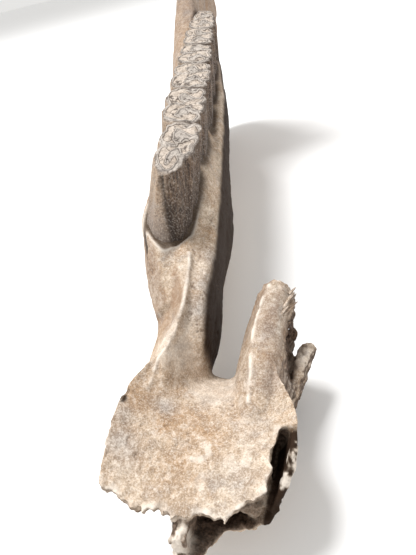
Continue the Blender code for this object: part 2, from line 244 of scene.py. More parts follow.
def ringFaces(rows, around):
    # Four-sided faces between neighbouring rings
    i = np.arange(rows - 1)[:, None] * around
    j = np.arange(around)[None, :]
    k = (j + 1) % around
    return np.stack([i + j, i + k, i + k + around, i + j + around], -1).reshape(-1, 4)


def ringMesh(rings):
    # Closed skin over rows of rings, a fan of triangles at either end
    rows, around, _ = rings.shape
    points = np.vstack([rings.reshape(-1, 3), rings[0].mean(0), rings[-1].mean(0)])
    first, end = rows * around, (rows - 1) * around
    n = np.arange(around)
    follow = (n + 1) % around
    front = np.stack([np.full(around, first), follow, n], 1)
    back = np.stack([np.full(around, first + 1), end + n, end + follow], 1)
    return points, ringFaces(rows, around).tolist() + front.tolist() + back.tolist()


def sheetMesh(top, bottom):
    # Closed body between two grids of points of the same size
    rows, columns, _ = top.shape
    count = rows * columns
    grid = np.arange(count).reshape(rows, columns)
    quads = np.stack([grid[:-1, :-1], grid[:-1, 1:], grid[1:, 1:], grid[1:, :-1]], -1).reshape(-1, 4)
    border = np.concatenate([grid[0, :-1], grid[:-1, -1], grid[-1, :0:-1], grid[:0:-1, 0]])
    follow = np.roll(border, -1)
    rim = np.stack([follow, border, border + count, follow + count], -1)
    faces = quads.tolist() + (quads[:, ::-1] + count).tolist() + rim.tolist()
    return np.vstack([top.reshape(-1, 3), bottom.reshape(-1, 3)]), faces


def addObject(name, points, faces):
    # Mesh object on the floor from jaw points, turned inside out if its volume comes out negative
    mesh = bpy.data.meshes.new(name)
    mesh.from_pydata(toFloor(points).tolist(), [], faces)
    mesh.calc_loop_triangles()
    corners = np.empty(len(mesh.loop_triangles) * 3, int)
    mesh.loop_triangles.foreach_get("vertices", corners)
    spots = readRows(mesh.vertices, "co")[corners].reshape(-1, 3, 3)
    if np.einsum("ij,ij->i", spots[:, 0], np.cross(spots[:, 1], spots[:, 2])).sum() < 0:
        mesh.flip_normals()
    return newObject(name, mesh)


def addForm(name, form):
    # Solid skin over the sections of a form
    return addObject(name, *ringMesh(sectionRings(form)))


def readRows(group, key):
    # Three numbers for each item of a group
    flat = np.empty(len(group) * 3)
    group.foreach_get(key, flat)
    return flat.reshape(-1, 3)


def jawSurface(mesh):
    # Points and normals of a mesh in the jaw's frame
    return toJaw(readRows(mesh.vertices, "co")), readRows(mesh.vertex_normals, "vector") @ jawTurn


def spinAbout(turn):
    # Turn about the vertical, for points in rows
    a = np.radians(turn)
    return np.array([[np.cos(a), np.sin(a), 0], [-np.sin(a), np.cos(a), 0], [0, 0, 1]])


def ball(name, middle, half, turn=0.0, around=64, rows=40):
    # Ball stretched to three half sizes and turned about the vertical
    lat = np.linspace(0, np.pi, rows + 1)[1:-1, None]
    lon = np.linspace(0, 2 * np.pi, around, endpoint=False)[None, :]
    rings = np.stack([np.cos(lat) + 0 * lon, np.sin(lat) * np.cos(lon), np.sin(lat) * np.sin(lon)], -1)
    points, faces = ringMesh(rings)
    points[-2:] = [(1, 0, 0), (-1, 0, 0)]
    return addObject(name, (points * half) @ spinAbout(turn) + middle, faces)


def boxAt(name, low, high, turn=0.0, pivot=(0.0, 0.0)):
    # Cutting box between two corners, turned about a vertical line
    ends = (low, high)
    corners = np.array([[ends[i][0], ends[j][1], ends[k][2]] for i, j, k in np.ndindex(2, 2, 2)], float)
    pivot = np.append(pivot, 0)
    faces = [(0, 1, 3, 2), (4, 6, 7, 5), (0, 4, 5, 1), (2, 3, 7, 6), (0, 2, 6, 4), (1, 5, 7, 3)]
    return addObject(name, (corners - pivot) @ spinAbout(turn) + pivot, faces)


def modify(item, kind, **values):
    # Add a modifier, keep its result and drop it
    change = item.modifiers.new(kind.lower(), kind)
    for key, value in values.items():
        setattr(change, key, value)
    bpy.context.view_layer.update()
    ready = item.evaluated_get(bpy.context.evaluated_depsgraph_get())
    mesh = bpy.data.meshes.new_from_object(ready)
    item.modifiers.clear()
    item.data = mesh


def combine(item, others, operation):
    # Boolean with several closed objects, which are then removed
    for other in others:
        modify(item, "BOOLEAN", operation=operation, object=other, solver="MANIFOLD")
        bpy.data.objects.remove(other)


def twin(item, name):
    # Copy with a mesh of its own
    other = item.copy()
    other.data = item.data.copy()
    other.name = name
    bpy.context.scene.collection.objects.link(other)
    return other


# Forms of the bone
# Right half: A is the upper edge of a section and B the lower, then half thickness and squareness
rightHalf = dict(around=72, steps=9, rows=[
    (-12.6, -58, -35, -11, -55, -58, 2, 6, 4, 2.2),
    (-13.8, -49, -28, -12.5, -45, -60, 3, 9.5, 6, 2.2),
    (-12.3, -31, -24, -14.5, -28, -65, 3, 10.5, 7, 2.2),
    (-17.3, -15, -22, -18.5, -12, -68, 8.5, 13, 8, 2.6),
    (-22.5, -2, -20.5, -22.5, 3, -72, 12, 15, 8.5, 3),
    (-25.5, 23, -14, -26, 27, -77.5, 12.5, 17.3, 9.5, 3.2),
    (-31.7, 52, -13, -32, 56, -84, 12.5, 17.4, 9.8, 3.2),
    (-38.6, 87, -13, -40, 89, -90.5, 12.5, 17, 10, 3.2),
    (-46.4, 122, -10, -47, 122, -95, 13, 15.8, 8.5, 3),
    (-53.6, 151, -5, -54, 149, -97.5, 13.6, 14, 7, 3),
    (-60.3, 172, 4, -61, 176, -103, 10.6, 11, 7, 3),
    (-63.2, 183, 16, -65, 206, -110, 8, 7.5, 8, 2.8),
    (-64.3, 191, 34, -67.5, 237, -106, 6, 5, 8, 2.4),
    (-65.5, 198, 52, -69.5, 264, -84, 4.5, 4, 8, 2.2),
    (-67.5, 205, 70, -71, 279, -50, 4.5, 3.8, 7, 2.2),
    (-69.5, 215, 84, -72.5, 284, -12, 4.5, 3.8, 6.5, 2.2),
    (-71.5, 227, 93, -73.5, 282, 22, 4.5, 4, 6.5, 2.2),
    (-73.5, 239, 99, -74.5, 278, 54, 5, 4.5, 7, 2.2),
    (-75.5, 249, 105, -75.5, 275, 84, 7, 7.5, 8, 2.2),
    (-76.5, 253, 112, -76.5, 273, 104, 8, 8.5, 8, 2.2),
])
# Coronoid process: x, y, z of a section's middle, half length, half thickness
coronoid = dict(around=40, steps=8, rows=[
    (-66.5, 219, 60, 16, 3.4),
    (-68.5, 220, 80, 14.5, 3.4),
    (-70, 221, 98, 12, 3.4),
    (-70.5, 222, 116, 10, 3.4),
    (-70.5, 225, 133, 8, 3.2),
    (-70, 229, 146, 5, 2.6),
    (-69.5, 232, 151, 2.5, 1.8),
])
# Flat shelf on the tongue side of the right half
shelf = dict(around=48, steps=8, rows=[
    (-9, -52, -43, -8.5, -52, -56, 4, 4.5, 4, 3),
    (-9, -44, -35.5, -8.5, -44, -54, 5.2, 5.6, 4, 3),
    (-10, -36, -28.8, -9.5, -36, -52, 6.2, 6.4, 4, 3.2),
    (-12, -25, -25.4, -11.5, -25, -52, 6.8, 7, 5, 3.5),
    (-13, -12, -24.6, -13, -12, -54, 7.2, 7.8, 5, 3.5),
    (-15, 2, -24.2, -15, 2, -56, 7.6, 8, 5, 3.5),
    (-18, 20, -24, -18, 20, -58, 7.8, 8.8, 5, 3.5),
    (-22.5, 45, -22.6, -22.5, 45, -60, 8.2, 8.8, 5, 3.5),
    (-28.5, 80, -21, -29, 80, -60, 8.2, 8.6, 5, 3.5),
    (-33.5, 110, -19.5, -34, 110, -60, 7.8, 8, 5, 3.5),
    (-39.5, 133, -18.5, -40, 133, -60, 7.6, 7.6, 5, 3.5),
    (-46, 160, -14.5, -47, 160, -60, 7, 7, 5, 3.5),
    (-55, 185, -12, -56, 185, -60, 5, 5, 4, 3),
])
# Swelling round the first tooth's socket
socket = dict(around=48, steps=8, rows=[
    (-17.5, -28, -29.5, -19, -28, -48, 3.5, 5.5, 4, 2.4),
    (-20.5, -19, -23.8, -22, -19, -50, 5.2, 7, 4, 3),
    (-23.8, -11, -20.2, -25, -11, -54, 4.8, 8, 5.5, 5),
    (-26.4, -4, -19.2, -27, -4, -57, 6.4, 8.4, 6, 8),
    (-28.8, 4, -18.9, -29, 4, -58, 7.2, 8.8, 6, 9),
    (-30.4, 13, -19.2, -31, 13, -60, 7.3, 9, 6, 9),
    (-32.4, 20, -21, -32, 20, -60, 7, 9, 6, 6),
    (-34, 28, -23, -33.5, 28, -60, 6.4, 8.4, 6, 4),
    (-35, 42, -25, -35, 42, -58, 4, 6, 4, 3),
])
condyle = dict(middle=(-77.5, 264, 114), half=(23, 9.5, 8), turn=-12)

# Symphysis: y, x of its middle, half width, rim, dish of the upper face, underside
spoon = dict(rows=[
    (-102, 2.2, 18.2, -28, 2, -41),
    (-92.5, 2.2, 19.6, -28, 2.5, -43),
    (-81.5, 2, 21, -27.5, 4, -47),
    (-68.5, 1.9, 22.9, -27, 6.5, -52),
    (-59, 1.2, 22.1, -27.5, 8.5, -57),
    (-50, 0.6, 18, -28, 12, -61),
    (-42, 1.3, 14.4, -28.5, 17, -63),
    (-34.5, 1.8, 13, -29, 22, -63),
], lean=0.05, lip=1.5, notch=-41.5, sag=6, pocketBack=-63.5, overlap=3, wall=2.8, thinEdge=0.85,
    thinLeft=0.65, plateRight=0.78, ragged=0.05, dishPower=2.2, shellPower=0.8)
# Broken edges: place across from -1 to 1, and y
plateEdge = [(-1, -84.5), (-0.95, -86.8), (-0.9, -86), (-0.85, -85.6), (-0.77, -85.7), (-0.65, -87.4),
             (-0.54, -88.6), (-0.41, -87.3), (-0.28, -86.7), (-0.16, -88.1), (-0.01, -88.7), (0.14, -86.4),
             (0.26, -85.6), (0.41, -86.7), (0.5, -86.9), (0.6, -87.2), (0.65, -85), (0.7, -83.7),
             (0.83, -82.4), (0.92, -81.6), (1, -80.6)]
plateSide = [(1, -76), (1, -70), (1, -64)]
shellEdge = [(-1, -75), (-0.7, -77), (-0.45, -78.5), (-0.25, -80.5), (-0.12, -84), (-0.06, -90),
             (0, -97.3), (0.07, -97.3), (0.13, -89), (0.24, -85.7), (0.5, -83.4), (0.7, -82),
             (0.85, -78.7), (1, -72.2)]
# Wall in the middle of the broken front, and the spongy bone in its left corner
septum = dict(x=1.4, thick=4.6, front=-92, top=-32.8, bottom=-47)
sponge = dict(middle=(15.5, -76.5, -38), half=(5.5, 5.5, 3.6))

# Left stub with its broken lower prong, then the hollow and the bite in it
stub = dict(around=64, steps=8, rows=[
    (15, -70, -36, 10.5, -67, -53, 5, 7, 6, 2.4),
    (14, -60, -32, 12, -57, -57, 5.6, 8.2, 6.2, 2.6),
    (13.8, -52, -29.6, 13.6, -49, -60, 5.8, 8.6, 6.2, 3),
    (13.8, -44, -27.2, 12.4, -40, -64, 5.6, 9, 6.2, 3.4),
    (13.6, -35, -25, 12.6, -32, -64, 5.1, 8.4, 6.2, 3.4),
    (13.8, -27, -24, 13.2, -25, -56, 4.5, 7.6, 5, 3.4),
    (14.4, -18.6, -24.2, 14, -18, -43, 4.2, 5.8, 3.6, 3),
])
prong = dict(around=36, steps=10, rows=[
    (20.3, -50, -42, 17, -49, -59, 2.4, 3.6, 2.4, 2.2),
    (23.4, -38, -41.5, 20.8, -36, -56, 2.3, 3.2, 2.2, 2.2),
    (26, -27, -42.5, 24.8, -27, -51, 2.2, 2.8, 2, 4.5),
])
stubHollow = dict(middle=(15.8, -18, -39.5), half=(4.3, 20, 8), turn=-6)
stubBite = dict(middle=(24.6, -29, -38.3), half=(6, 15, 9.4), turn=-12)
# Slivers on the stub's broken edge: x, y, z of the root, the way it points, its length and thickness
splinters = [
    (16.6, -31, -26.4, 0.42, 0.85, -0.10, 4.6, 0.50), (17.4, -30.2, -27.4, 0.50, 0.80, -0.20, 4.2, 0.42),
    (17, -28.4, -26.6, 0.35, 0.90, 0.05, 4.8, 0.55), (18.2, -28, -28.2, 0.55, 0.80, -0.10, 3.8, 0.45),
    (17.6, -26.2, -26.8, 0.50, 0.85, 0.10, 4.2, 0.50), (18.8, -25.8, -28.8, 0.60, 0.75, 0, 3.6, 0.42),
    (18, -24.2, -27.2, 0.45, 0.85, 0, 4, 0.52), (19, -23.4, -28.6, 0.40, 0.90, 0.15, 3.4, 0.45),
    (18.2, -22, -27, 0.55, 0.80, 0.10, 3.4, 0.50), (19.2, -30, -31, 0.30, 0.85, -0.40, 3.6, 0.40)]

# Lines on the bone, as jaw points
boneLines = dict(
    rightCrest=[(-14.9, -11.9, -22.7), (-13.4, -17.6, -23.5), (-12.5, -24.6, -24), (-11.8, -31.5, -25.1),
                (-11.9, -37.2, -26.2), (-12.4, -42.3, -27.4), (-13.6, -46.8, -28.2), (-15, -49.4, -29),
                (-15.8, -53.3, -29.6), (-16, -57.4, -30.2)],
    leftCrest=[(12.2, -21.5, -24.6), (10.9, -27, -25.2), (10, -34, -26.2), (9.8, -38, -27),
               (9.9, -44.5, -28.5), (10.8, -49.5, -29.6), (10.9, -54, -30.6), (11.3, -57.5, -31.4)],
    # y, x, z of the edge between the shelf and the tongue side
    shoulder=[(-52, -3.6, -42), (-44, -3.2, -35.5), (-36, -3.6, -29), (-25, -5.2, -25.6), (-12, -5.8, -24.9),
              (2, -7.4, -24.5), (20, -10.2, -24.3), (45, -14.4, -22.9), (80, -20.4, -21.3),
              (110, -25.8, -19.9), (133, -32, -19), (160, -39, -15), (185, -50, -12)],
)


def brokenEdge(edge, place, seed):
    # Straight between the teeth of a break, with smaller splinters added
    across, reach = np.array(edge, float).T
    at = np.stack([place.ravel(), np.full(place.size, 0.3), np.full(place.size, 0.7)], 1)
    small = 0.7 * lumps(at, 0.05, seed) + 0.4 * lumps(at, 0.022, seed + 1)
    return np.interp(place, across, reach) + small.reshape(place.shape)


def spoonAt(y):
    # Middle, half width, rim, dish and underside at each y
    rows = smoothRows(spoon["rows"], 8)
    return [np.interp(y, rows[:, 0], rows[:, n]) for n in range(1, 6)]


def upperFace(place, y):
    # Rim height less a dish that is deepest in the middle
    middle, wide, rim, dish, _ = spoonAt(y)
    return middle + wide * place, rim - dish * (1 - np.abs(place) ** spoon["dishPower"])


def lowerFace(place, y, inset=0.0):
    # Half of a squared oval under the rim, drawn in by a wall's thickness where asked
    middle, wide, rim, _, under = spoonAt(y)
    bend, lip, power = place * np.pi / 2, spoon["lip"], spoon["shellPower"]
    z = rim - lip + (under - rim + lip + inset) * np.abs(np.cos(bend)) ** power
    x = middle + (wide - inset) * np.sign(bend) * np.abs(np.sin(bend)) ** power
    return x + spoon["lean"] * (z - rim), z


def symphysisForms():
    # Solid rear, thin broken upper plate, thin broken lower shell, the wall between, and spongy bone
    rear, back = spoon["pocketBack"], spoon["pocketBack"] + spoon["overlap"]
    place = np.linspace(-1, 1, 81)[None, :]
    part = np.linspace(0, 1, 40)[:, None]
    y = rear + part * (spoon["notch"] + spoon["sag"] * place**2 - rear)
    x, z = upperFace(place, y)
    low = lowerFace(place, y)
    core = sheetMesh(np.stack([x, y, z], -1), np.stack([low[0], y, low[1]], -1))

    place = np.linspace(-1, 1, 161)[None, :]
    y = back + part * (brokenEdge(plateEdge, place, 21) - back)
    torn = lumps(np.stack([y.ravel(), 0 * y.ravel(), 0 * y.ravel()], 1), 2.4, 23).reshape(y.shape)
    across = np.where(place > 0, place * (spoon["plateRight"] + spoon["ragged"] * torn), place)
    x, z = upperFace(across, y)
    top = np.stack([x, y, z], -1)
    thick = spoon["wall"] * (1 - (1 - spoon["thinEdge"]) * part**2) + 0 * place
    plate = sheetMesh(top, top - thick[:, :, None] * np.array([0, 0, 1.0]))

    y = back + part * (brokenEdge(shellEdge, place, 31) - back)
    outer = lowerFace(place, y)
    thinner = np.where(place > 0.5, spoon["thinLeft"], 1.0)
    thick = spoon["wall"] * (1 - (1 - spoon["thinEdge"]) * part) * thinner
    inner = lowerFace(place, y, thick)
    shell = sheetMesh(np.stack([inner[0], y, inner[1]], -1), np.stack([outer[0], y, outer[1]], -1))

    # The wall sinks towards the back
    front, x, half = septum["front"], septum["x"], septum["thick"] / 2
    rows = [(x, y, septum["top"] - drop, x, y, septum["bottom"] - drop, half, half * 0.75, half, 4.0)
            for y, drop in ((back, 5.0), ((front + rear) / 2, 2.5), (front, 0.0))]
    return [addObject("core", *core), addObject("plate", *plate), addObject("shell", *shell),
            addForm("wall", dict(around=40, steps=10, rows=rows)), ball("sponge", **sponge)]


def wholeBone():
    # All forms joined, the hollow and the bite taken out of the stub, and its prong added
    bone = addForm("bone", rightHalf)
    blade = [(x, y - half, z, x, y + half, z, thick * 0.7, thick, thick * 0.7, 2.0)
             for x, y, z, half, thick in smoothRows(coronoid["rows"], coronoid["steps"])]
    joined = [addForm("coronoid", dict(around=coronoid["around"], steps=1, rows=blade)),
              ball("condyle", **condyle), addForm("shelf", shelf), addForm("socket", socket),
              *symphysisForms(), addForm("stub", stub)]
    combine(bone, joined, "UNION")
    combine(bone, [ball("hollow", **stubHollow), ball("bite", **stubBite)], "DIFFERENCE")
    combine(bone, [addForm("prong", prong)], "UNION")
    return bone


# Teeth
teeth = dict(
    # length, width, x of its middle, forward lean, how much wider at the back
    sizes=[(34, 14.2, -24, 13, 0.07), (30.5, 16.8, -29.4, 6, 0.04), (28, 17.2, -34.1, 2, 0),
           (25, 16.5, -38.7, 0, -0.03), (25, 15.5, -43.1, -2, -0.03), (32.5, 13.2, -47.4, -6, -0.25)],
    # slant with the row, how far the cheek side moves out per mm of depth, and how much the front
    # rounds off below or narrows at the top
    slant=[-0.06] + [-0.155] * 5, flare=[0.12, 0.08, 0.06, 0.05, 0.05, 0.05],
    rounding=[0.58, 0, 0, 0, 0, 0], pointed=[0.42, 0, 0, 0, 0, 0],
    # depths in mm over which they lean, round off and narrow, and the deepest that counts
    leanOver=24, roundOver=14, pointOver=18, deepest=30,
    # z of the root's end, what is added to each half length, points round, rings of wall and cap
    root=-28, space=-0.12, around=288, wallRows=46, capRows=66, capEnd=0.015,
    # heights and depths of the relief in mm
    ridge=0.22, ridgeWidth=0.24, dentine=0.10, cement=0.14, edge=0.35, warp=0.55, crack=0.16, ribs=0.5,
    fold=0.9, waves=[(0.4, 8), (0.42, 2.3), (0.12, 0.9)])
# How wide a tooth is at each depth in mm
toothTaper = dict(depth=[0, 0.8, 4, 16, 29], width=[1, 1.012, 1.02, 1, 0.86])
# Place along the tooth, width, depth of the grooves down its cheek side and its tongue side
grooves = dict(cheek=[(0.02, 0.13, 0.22), (0.72, 0.09, 0.07), (-0.62, 0.10, 0.05)],
               tongue=[(-0.52, 0.14, 0.17), (0.05, 0.09, 0.16), (0.52, 0.13, 0.16), (-0.82, 0.06, 0.06)])
# Course of the enamel from the front round the cheek side and back along the tongue side
enamelCourse = [(-0.95, -0.35), (-0.80, -0.85), (-0.45, -0.98), (-0.15, -0.85), (-0.04, -0.45),
                (-0.02, -0.05), (0.06, -0.05), (0.08, -0.45), (0.20, -0.85), (0.50, -0.95),
                (0.82, -0.82), (0.97, -0.40),
                (1.00, -0.05), (0.90, 0.10), (0.84, 0.00), (0.80, 0.35), (0.90, 0.65), (0.72, 0.88),
                (0.48, 0.80), (0.44, 0.45), (0.66, 0.05), (0.70, -0.25), (0.45, -0.35), (0.18, -0.15),
                (0.12, 0.15), (0.22, 0.45), (0.30, 0.72), (0.26, 0.95), (0.08, 0.92), (0.00, 0.62),
                (-0.10, 0.92), (-0.28, 1.00), (-0.40, 0.82), (-0.34, 0.55), (-0.14, 0.30), (-0.16, 0.12),
                (-0.45, -0.28), (-0.72, -0.30), (-0.82, -0.05), (-0.60, 0.05), (-0.50, 0.30), (-0.55, 0.55),
                (-0.70, 0.70), (-0.92, 0.55), (-0.98, 0.10)]


def toothFronts():
    # y of each tooth's front, one length behind the last
    lengths = [row[0] for row in teeth["sizes"]]
    return np.concatenate([[0.0], np.cumsum(lengths)[:-1]])


def toothPoints(along, across, height, number, front):
    # Stretched to the tooth's length and width, slanted with the row, leaning with its height
    length, width, middle, lean, growth = teeth["sizes"][number]
    depth = np.clip(-height, 0, teeth["deepest"])
    forward = np.clip(-along, 0, 1)
    low = np.clip(depth / teeth["roundOver"], 0, 1)
    drawn = teeth["rounding"][number] * low * forward * np.abs(across) ** 2
    y = along * (length / 2 + teeth["space"]) * (1 - drawn)
    point = teeth["pointed"][number] * forward ** 1.3 * np.clip(1 - depth / teeth["pointOver"], 0, 1)
    x = middle + across * width / 2 * (1 + growth * along) * (1 - point) + teeth["slant"][number] * y
    x = x - teeth["flare"][number] * depth * np.clip(-across, 0, 1)
    return np.stack([x, y + front + length / 2 + lean * height / teeth["leanOver"], height + 0 * y], -1)


def outsideTeeth(points):
    # Rough distance outside the nearest tooth's outline: squared-oval norm less one, times half the width
    best = np.full(len(points), 99.0)
    depth = np.clip(-points[:, 2], 0, teeth["deepest"])
    for number, front in enumerate(toothFronts()):
        length, width, middle, lean, growth = teeth["sizes"][number]
        y = points[:, 1] - front - length / 2 - lean * points[:, 2] / teeth["leanOver"]
        along = y / (length / 2)
        half = width / 2 * (1 + growth * np.clip(along, -1, 1))
        across = (points[:, 0] - middle - teeth["slant"][number] * y) / half
        across = np.where(across < 0, across / (1 + teeth["flare"][number] * depth * 2 / width), across)
        drawn = teeth["rounding"][number] * np.clip(-along, 0, 1) * np.clip(np.abs(across), 0, 1) ** 2
        norm = (np.abs(along / (1 - drawn)) ** 4.4 + np.abs(across) ** 4) ** 0.24
        best = np.minimum(best, (norm - 1) * width / 2)
    return best


def closedCurve(points, steps=5):
    # Smooth curve through a ring of points, ending where it starts
    ring = np.asarray(points, float)
    t = (np.arange(steps) / steps)[None, :, None]
    curve = blendRows(*(np.roll(ring, -k, 0)[:, None] for k in (-1, 0, 1, 2)), t).reshape(-1, 2)
    return np.vstack([curve, curve[:1]])


def insideCurve(points, curve):
    # Odd number of crossings of a ray to the right
    inside = np.zeros(len(points), bool)
    for a, b in zip(curve[:-1], curve[1:]):
        spans = (a[1] > points[:, 1]) != (b[1] > points[:, 1])
        slope = (b[0] - a[0]) / (b[1] - a[1]) if b[1] != a[1] else 0.0
        inside ^= spans & (points[:, 0] < a[0] + slope * (points[:, 1] - a[1]))
    return inside


def toothOutline(number):
    # Squared oval drawn in by gaussian grooves on each side
    angle = np.linspace(0, 2 * np.pi, teeth["around"], endpoint=False)
    along = np.sign(np.cos(angle)) * np.abs(np.cos(angle)) ** 0.45
    across = np.sign(np.sin(angle)) * np.abs(np.sin(angle)) ** 0.5
    draw = np.zeros_like(angle)
    for side, sign in (("cheek", -1), ("tongue", 1)):
        for place, width, depth in grooves[side]:
            shift = 0.05 * (randomAt(np.array([number, int(place * 100), sign]), 5) - 0.5)
            draw += np.where(across * sign > 0, depth * bump(along - place - shift, width), 0)
    return along, across * (1 - draw)


def enamelCurve(number):
    # The course with each point moved a little, narrower at the front of the first tooth
    wobble = np.array([[randomAt(np.array([number, k, j]), 9) - 0.5 for j in (0, 1)]
                       for k in range(len(enamelCourse))])
    course = np.array(enamelCourse) * 0.93 + 0.05 * wobble
    if number == 0:
        course[:, 1] *= np.interp(course[:, 0], [-1, 0.2], [0.72, 1.0])
    return closedCurve(course)


def toothCap(number, front, along, across):
    # Rings drawn in to the middle: enamel ridges over dentine and cement, with waves, cracks and a worn edge
    size = np.array(teeth["sizes"][number][:2]) / 2
    grow = np.linspace(1, teeth["capEnd"], teeth["capRows"])
    flat = np.stack([along * grow[:, None], across * grow[:, None]], -1).reshape(-1, 2)
    at = toothPoints(flat[:, 0], flat[:, 1], np.zeros(len(flat)), number, front)
    warp = np.stack([layered(at, 3.0, 66, 2), layered(at, 3.0, 67, 2)], 1) * teeth["warp"]
    curve = enamelCurve(number)
    away = farFromLine(flat * size + warp, curve * size)
    inside = insideCurve(flat + warp / size, curve)
    band = bump(away, teeth["ridgeWidth"])
    crack = ramp(0.14, 0.05, np.abs(layered(at, 4.2, 68, 3)))
    seam = bump(away - 0.40, 0.20) * np.where(inside, 1.0, 0.7)
    edge = np.repeat(grow ** 14, teeth["around"])
    rise = teeth["ridge"] * (band - 1) - np.where(inside, teeth["dentine"], teeth["cement"]) * (1 - band)
    for seed, (high, wide) in enumerate(teeth["waves"], 61):
        rise = rise + high * lumps(at, wide, seed)
    rise -= teeth["crack"] * crack
    rise -= teeth["edge"] * edge * (0.8 + 0.5 * lumps(at, 2.2, 64))
    at[:, 2] += rise
    outermost = np.repeat(ramp(0.91, 0.98, grow), teeth["around"])
    masks = dict(enamel=band, line=np.maximum(seam, 0.9 * crack * (1 - band)), inside=inside * 1.0,
                 border=outermost * ramp(-0.8, 0.2, lumps(at, 2.2, 69)), wall=np.where(edge > 0.6, 0.5, 0.0))
    return at.reshape(teeth["capRows"], teeth["around"], 3), masks


def toothWalls(number, front, along, across, rim):
    # The outline carried down from the cap's rim to the root, moved along its normal by ribs
    depth = np.linspace(0, 1, teeth["wallRows"])[1:, None]
    height = teeth["root"] * depth + rim * (1 - depth)
    taper = np.interp(-height, toothTaper["depth"], toothTaper["width"])
    size = np.array(teeth["sizes"][number][:2]) / 2
    outline = np.stack([along, across], 1) * size
    wrap = np.cumsum(np.hypot(*np.diff(outline, axis=0, append=outline[:1]).T))
    strip = np.stack([np.broadcast_to(wrap, height.shape), height], -1)
    ribs = np.dstack([strip * (1, 0.10), np.full(height.shape, number * 9.0)]).reshape(-1, 3)
    ribbing = teeth["ribs"] * (lumps(ribs, 2.8, 71) + lumps(ribs, 1.1, 72) * 0.35)
    wall = toothPoints(along * taper, across * taper, height, number, front)
    outward = np.stack([across * size[0], along * size[1]], -1)
    outward /= np.linalg.norm(outward, axis=1, keepdims=True)
    # The first tooth has a fold slanting down its front
    fold = bump(across + 0.30 + 0.035 * height + 0.10 * lumps(ribs, 6.0, 76).reshape(height.shape), 0.16)
    fold = fold * ramp(-0.6, -0.8, along) * (number == 0)
    push = ribbing.reshape(height.shape) * ramp(0.0, -1.5, height) - teeth["fold"] * fold
    wall[..., :2] += outward * push[..., None]
    return wall[::-1], strip[::-1], fold[::-1]


def toothMesh(number, front):
    # Walls from the root up, then the cap, with a value of each mask for every point
    along, across = toothOutline(number)
    cap, onCap = toothCap(number, front, along, across)
    wall, strip, fold = toothWalls(number, front, along, across, cap[0, :, 2])
    points, faces = ringMesh(np.concatenate([wall, cap]))
    flat = np.zeros(cap.shape[:2])
    strip = np.concatenate([strip, np.dstack([flat + strip[0, :, 0], flat])])
    wrap, height = strip[0, :, 0], strip[..., 1]
    low = -strip[:len(wall), :, 1] / teeth["leanOver"]
    onWall = dict(fold=fold, wall=np.ones(fold.shape), low=low)
    toTongue = across + 0.012 * height + 0.15 * lumps(np.column_stack([wrap, 0 * wrap, 0 * wrap]), 1.8, 75)
    masks = dict(tongueSide=np.append(ramp(-0.25, 0.25, toTongue), [0, 0]))
    # The last two points are the middles of the root, which counts as low wall, and of the cap
    for name in {**onCap, **onWall}:
        below, above = onWall.get(name, 0 * fold), onCap.get(name, flat)
        masks[name] = np.concatenate([below.ravel(), above.ravel(), [name in ("wall", "low"), 0]])
    strip = strip.reshape(-1, 2)
    return points, faces, masks, np.vstack([strip, strip[:1], strip[-1:]])


# Surface of the bone: heights, depths and sizes in mm
boneSkin = dict(swell=0.30, swellSize=15, dent=0.20, dentSize=6, lump=0.12, lumpSize=2.6, grit=0.07,
                gritSize=1.2, grain=0.12, grainSize=2.2, pit=0.40, pitSize=3, patchSize=11, crest=0.60,
                crestWidth=0.75, rim=0.3, rimWidth=0.7, crevice=0.5, rough=0.75, pitted=0.35, pale=0.25,
                nick=1.1, nickWidth=0.9)
# Relief of the parts that the photo doesn't show
relief = dict(
    # hollow for the chewing muscle: y and z of its middle, half sizes, depth
    fossa=(243, -6, 26, 46, 1.6),
    # raised rear border, and muscle scars that run to it from a hub
    border=0.9, borderWidth=7, scar=0.75, scarSize=5, scarFrom=9, scarWidth=11, hub=(222, -25),
    # openings for nerves: side, y and z of the middle, half sizes, depth
    openings=[(1, 243, 8, 3.6, 6, 2.6), (-1, -24, -43, 3.4, 2.4, 2.6)])
# Stained places, and places of painted light and shade: x, y, z of the middle, radius, strength
stainsAndPaintedLight = dict(
    pitted=[(-12.5, -9, -24, 5, 1), (-8, -20, -26, 7, 1), (-6.5, -32, -29, 6, 1),
            (-8, 8, -24.5, 5, 1), (-27, -14, -30, 6, 1), (9, -52, -36, 6, 1)],
    ochre=[(-13.5, -54, -31, 6, 0.7), (-16, -61, -30, 7, 0.8), (-8, -64, -34, 8, 0.9),
           (-1, -63, -36, 8, 0.6), (-14, -73, -30, 7, 0.6), (-4, -78, -33, 9, 0.4),
           (11, -44, -29, 6, 0.5), (-29, -8, -30, 7, 0.8), (-22, -40, -40, 9, 0.5),
           (-13, 0, -26, 5, 0.6)],
    grey=[(-16.5, -76, -29, 7, 1), (-18.5, -68, -29, 5, 0.6), (-10.4, -60, -33, 4.2, 1.2),
          (11.4, -76.4, -31.4, 5, 0.8), (14, -66, -31, 5, 0.6), (1, -48, -40, 9, 0.5),
          (14, -38, -28, 6, 0.6), (22.5, -47, -37, 7, 1), (13.5, -50, -30, 5.5, 0.9),
          (14.5, -27, -25, 8, 0.7), (8, -80, -32, 4, 0.6), (-6.5, -10, -25.5, 6.5, 1),
          (-6.5, -20, -26.5, 7, 1.1), (-6, -30, -28.5, 7, 1.1)],
    chips=[(2.4, -73.9, -32.5, 1.7, 1), (3.6, -71.6, -33, 1.7, 1), (4.9, -69.3, -33.4, 1.5, 1),
           (8.8, -56.4, -33.4, 1.6, 0.5), (13, -71.5, -31.5, 2.4, 0.5), (9.5, -73.5, -32, 2.2, 0.5),
           (3.5, -79, -33, 2.6, 0.45), (22.1, -75.4, -33, 2.3, 1.5), (23.4, -71, -30.2, 2.3, 1.5)],
    # Bleached places: pale bone, and painted light where the bar's concave neck lies in shade
    bleachedAndPaintedLight=[(-12, -44, -31, 10, 0.35), (0, -50, -38, 9, 0.25), (24, -34, -43, 7, 0.45)],
    # Nicks: dents painted dark inside as shade
    nicks=[(-21, -63, -29.2, 1.9, 0.8), (-20.6, -60.6, -28.6, 1.2, 0.8)])
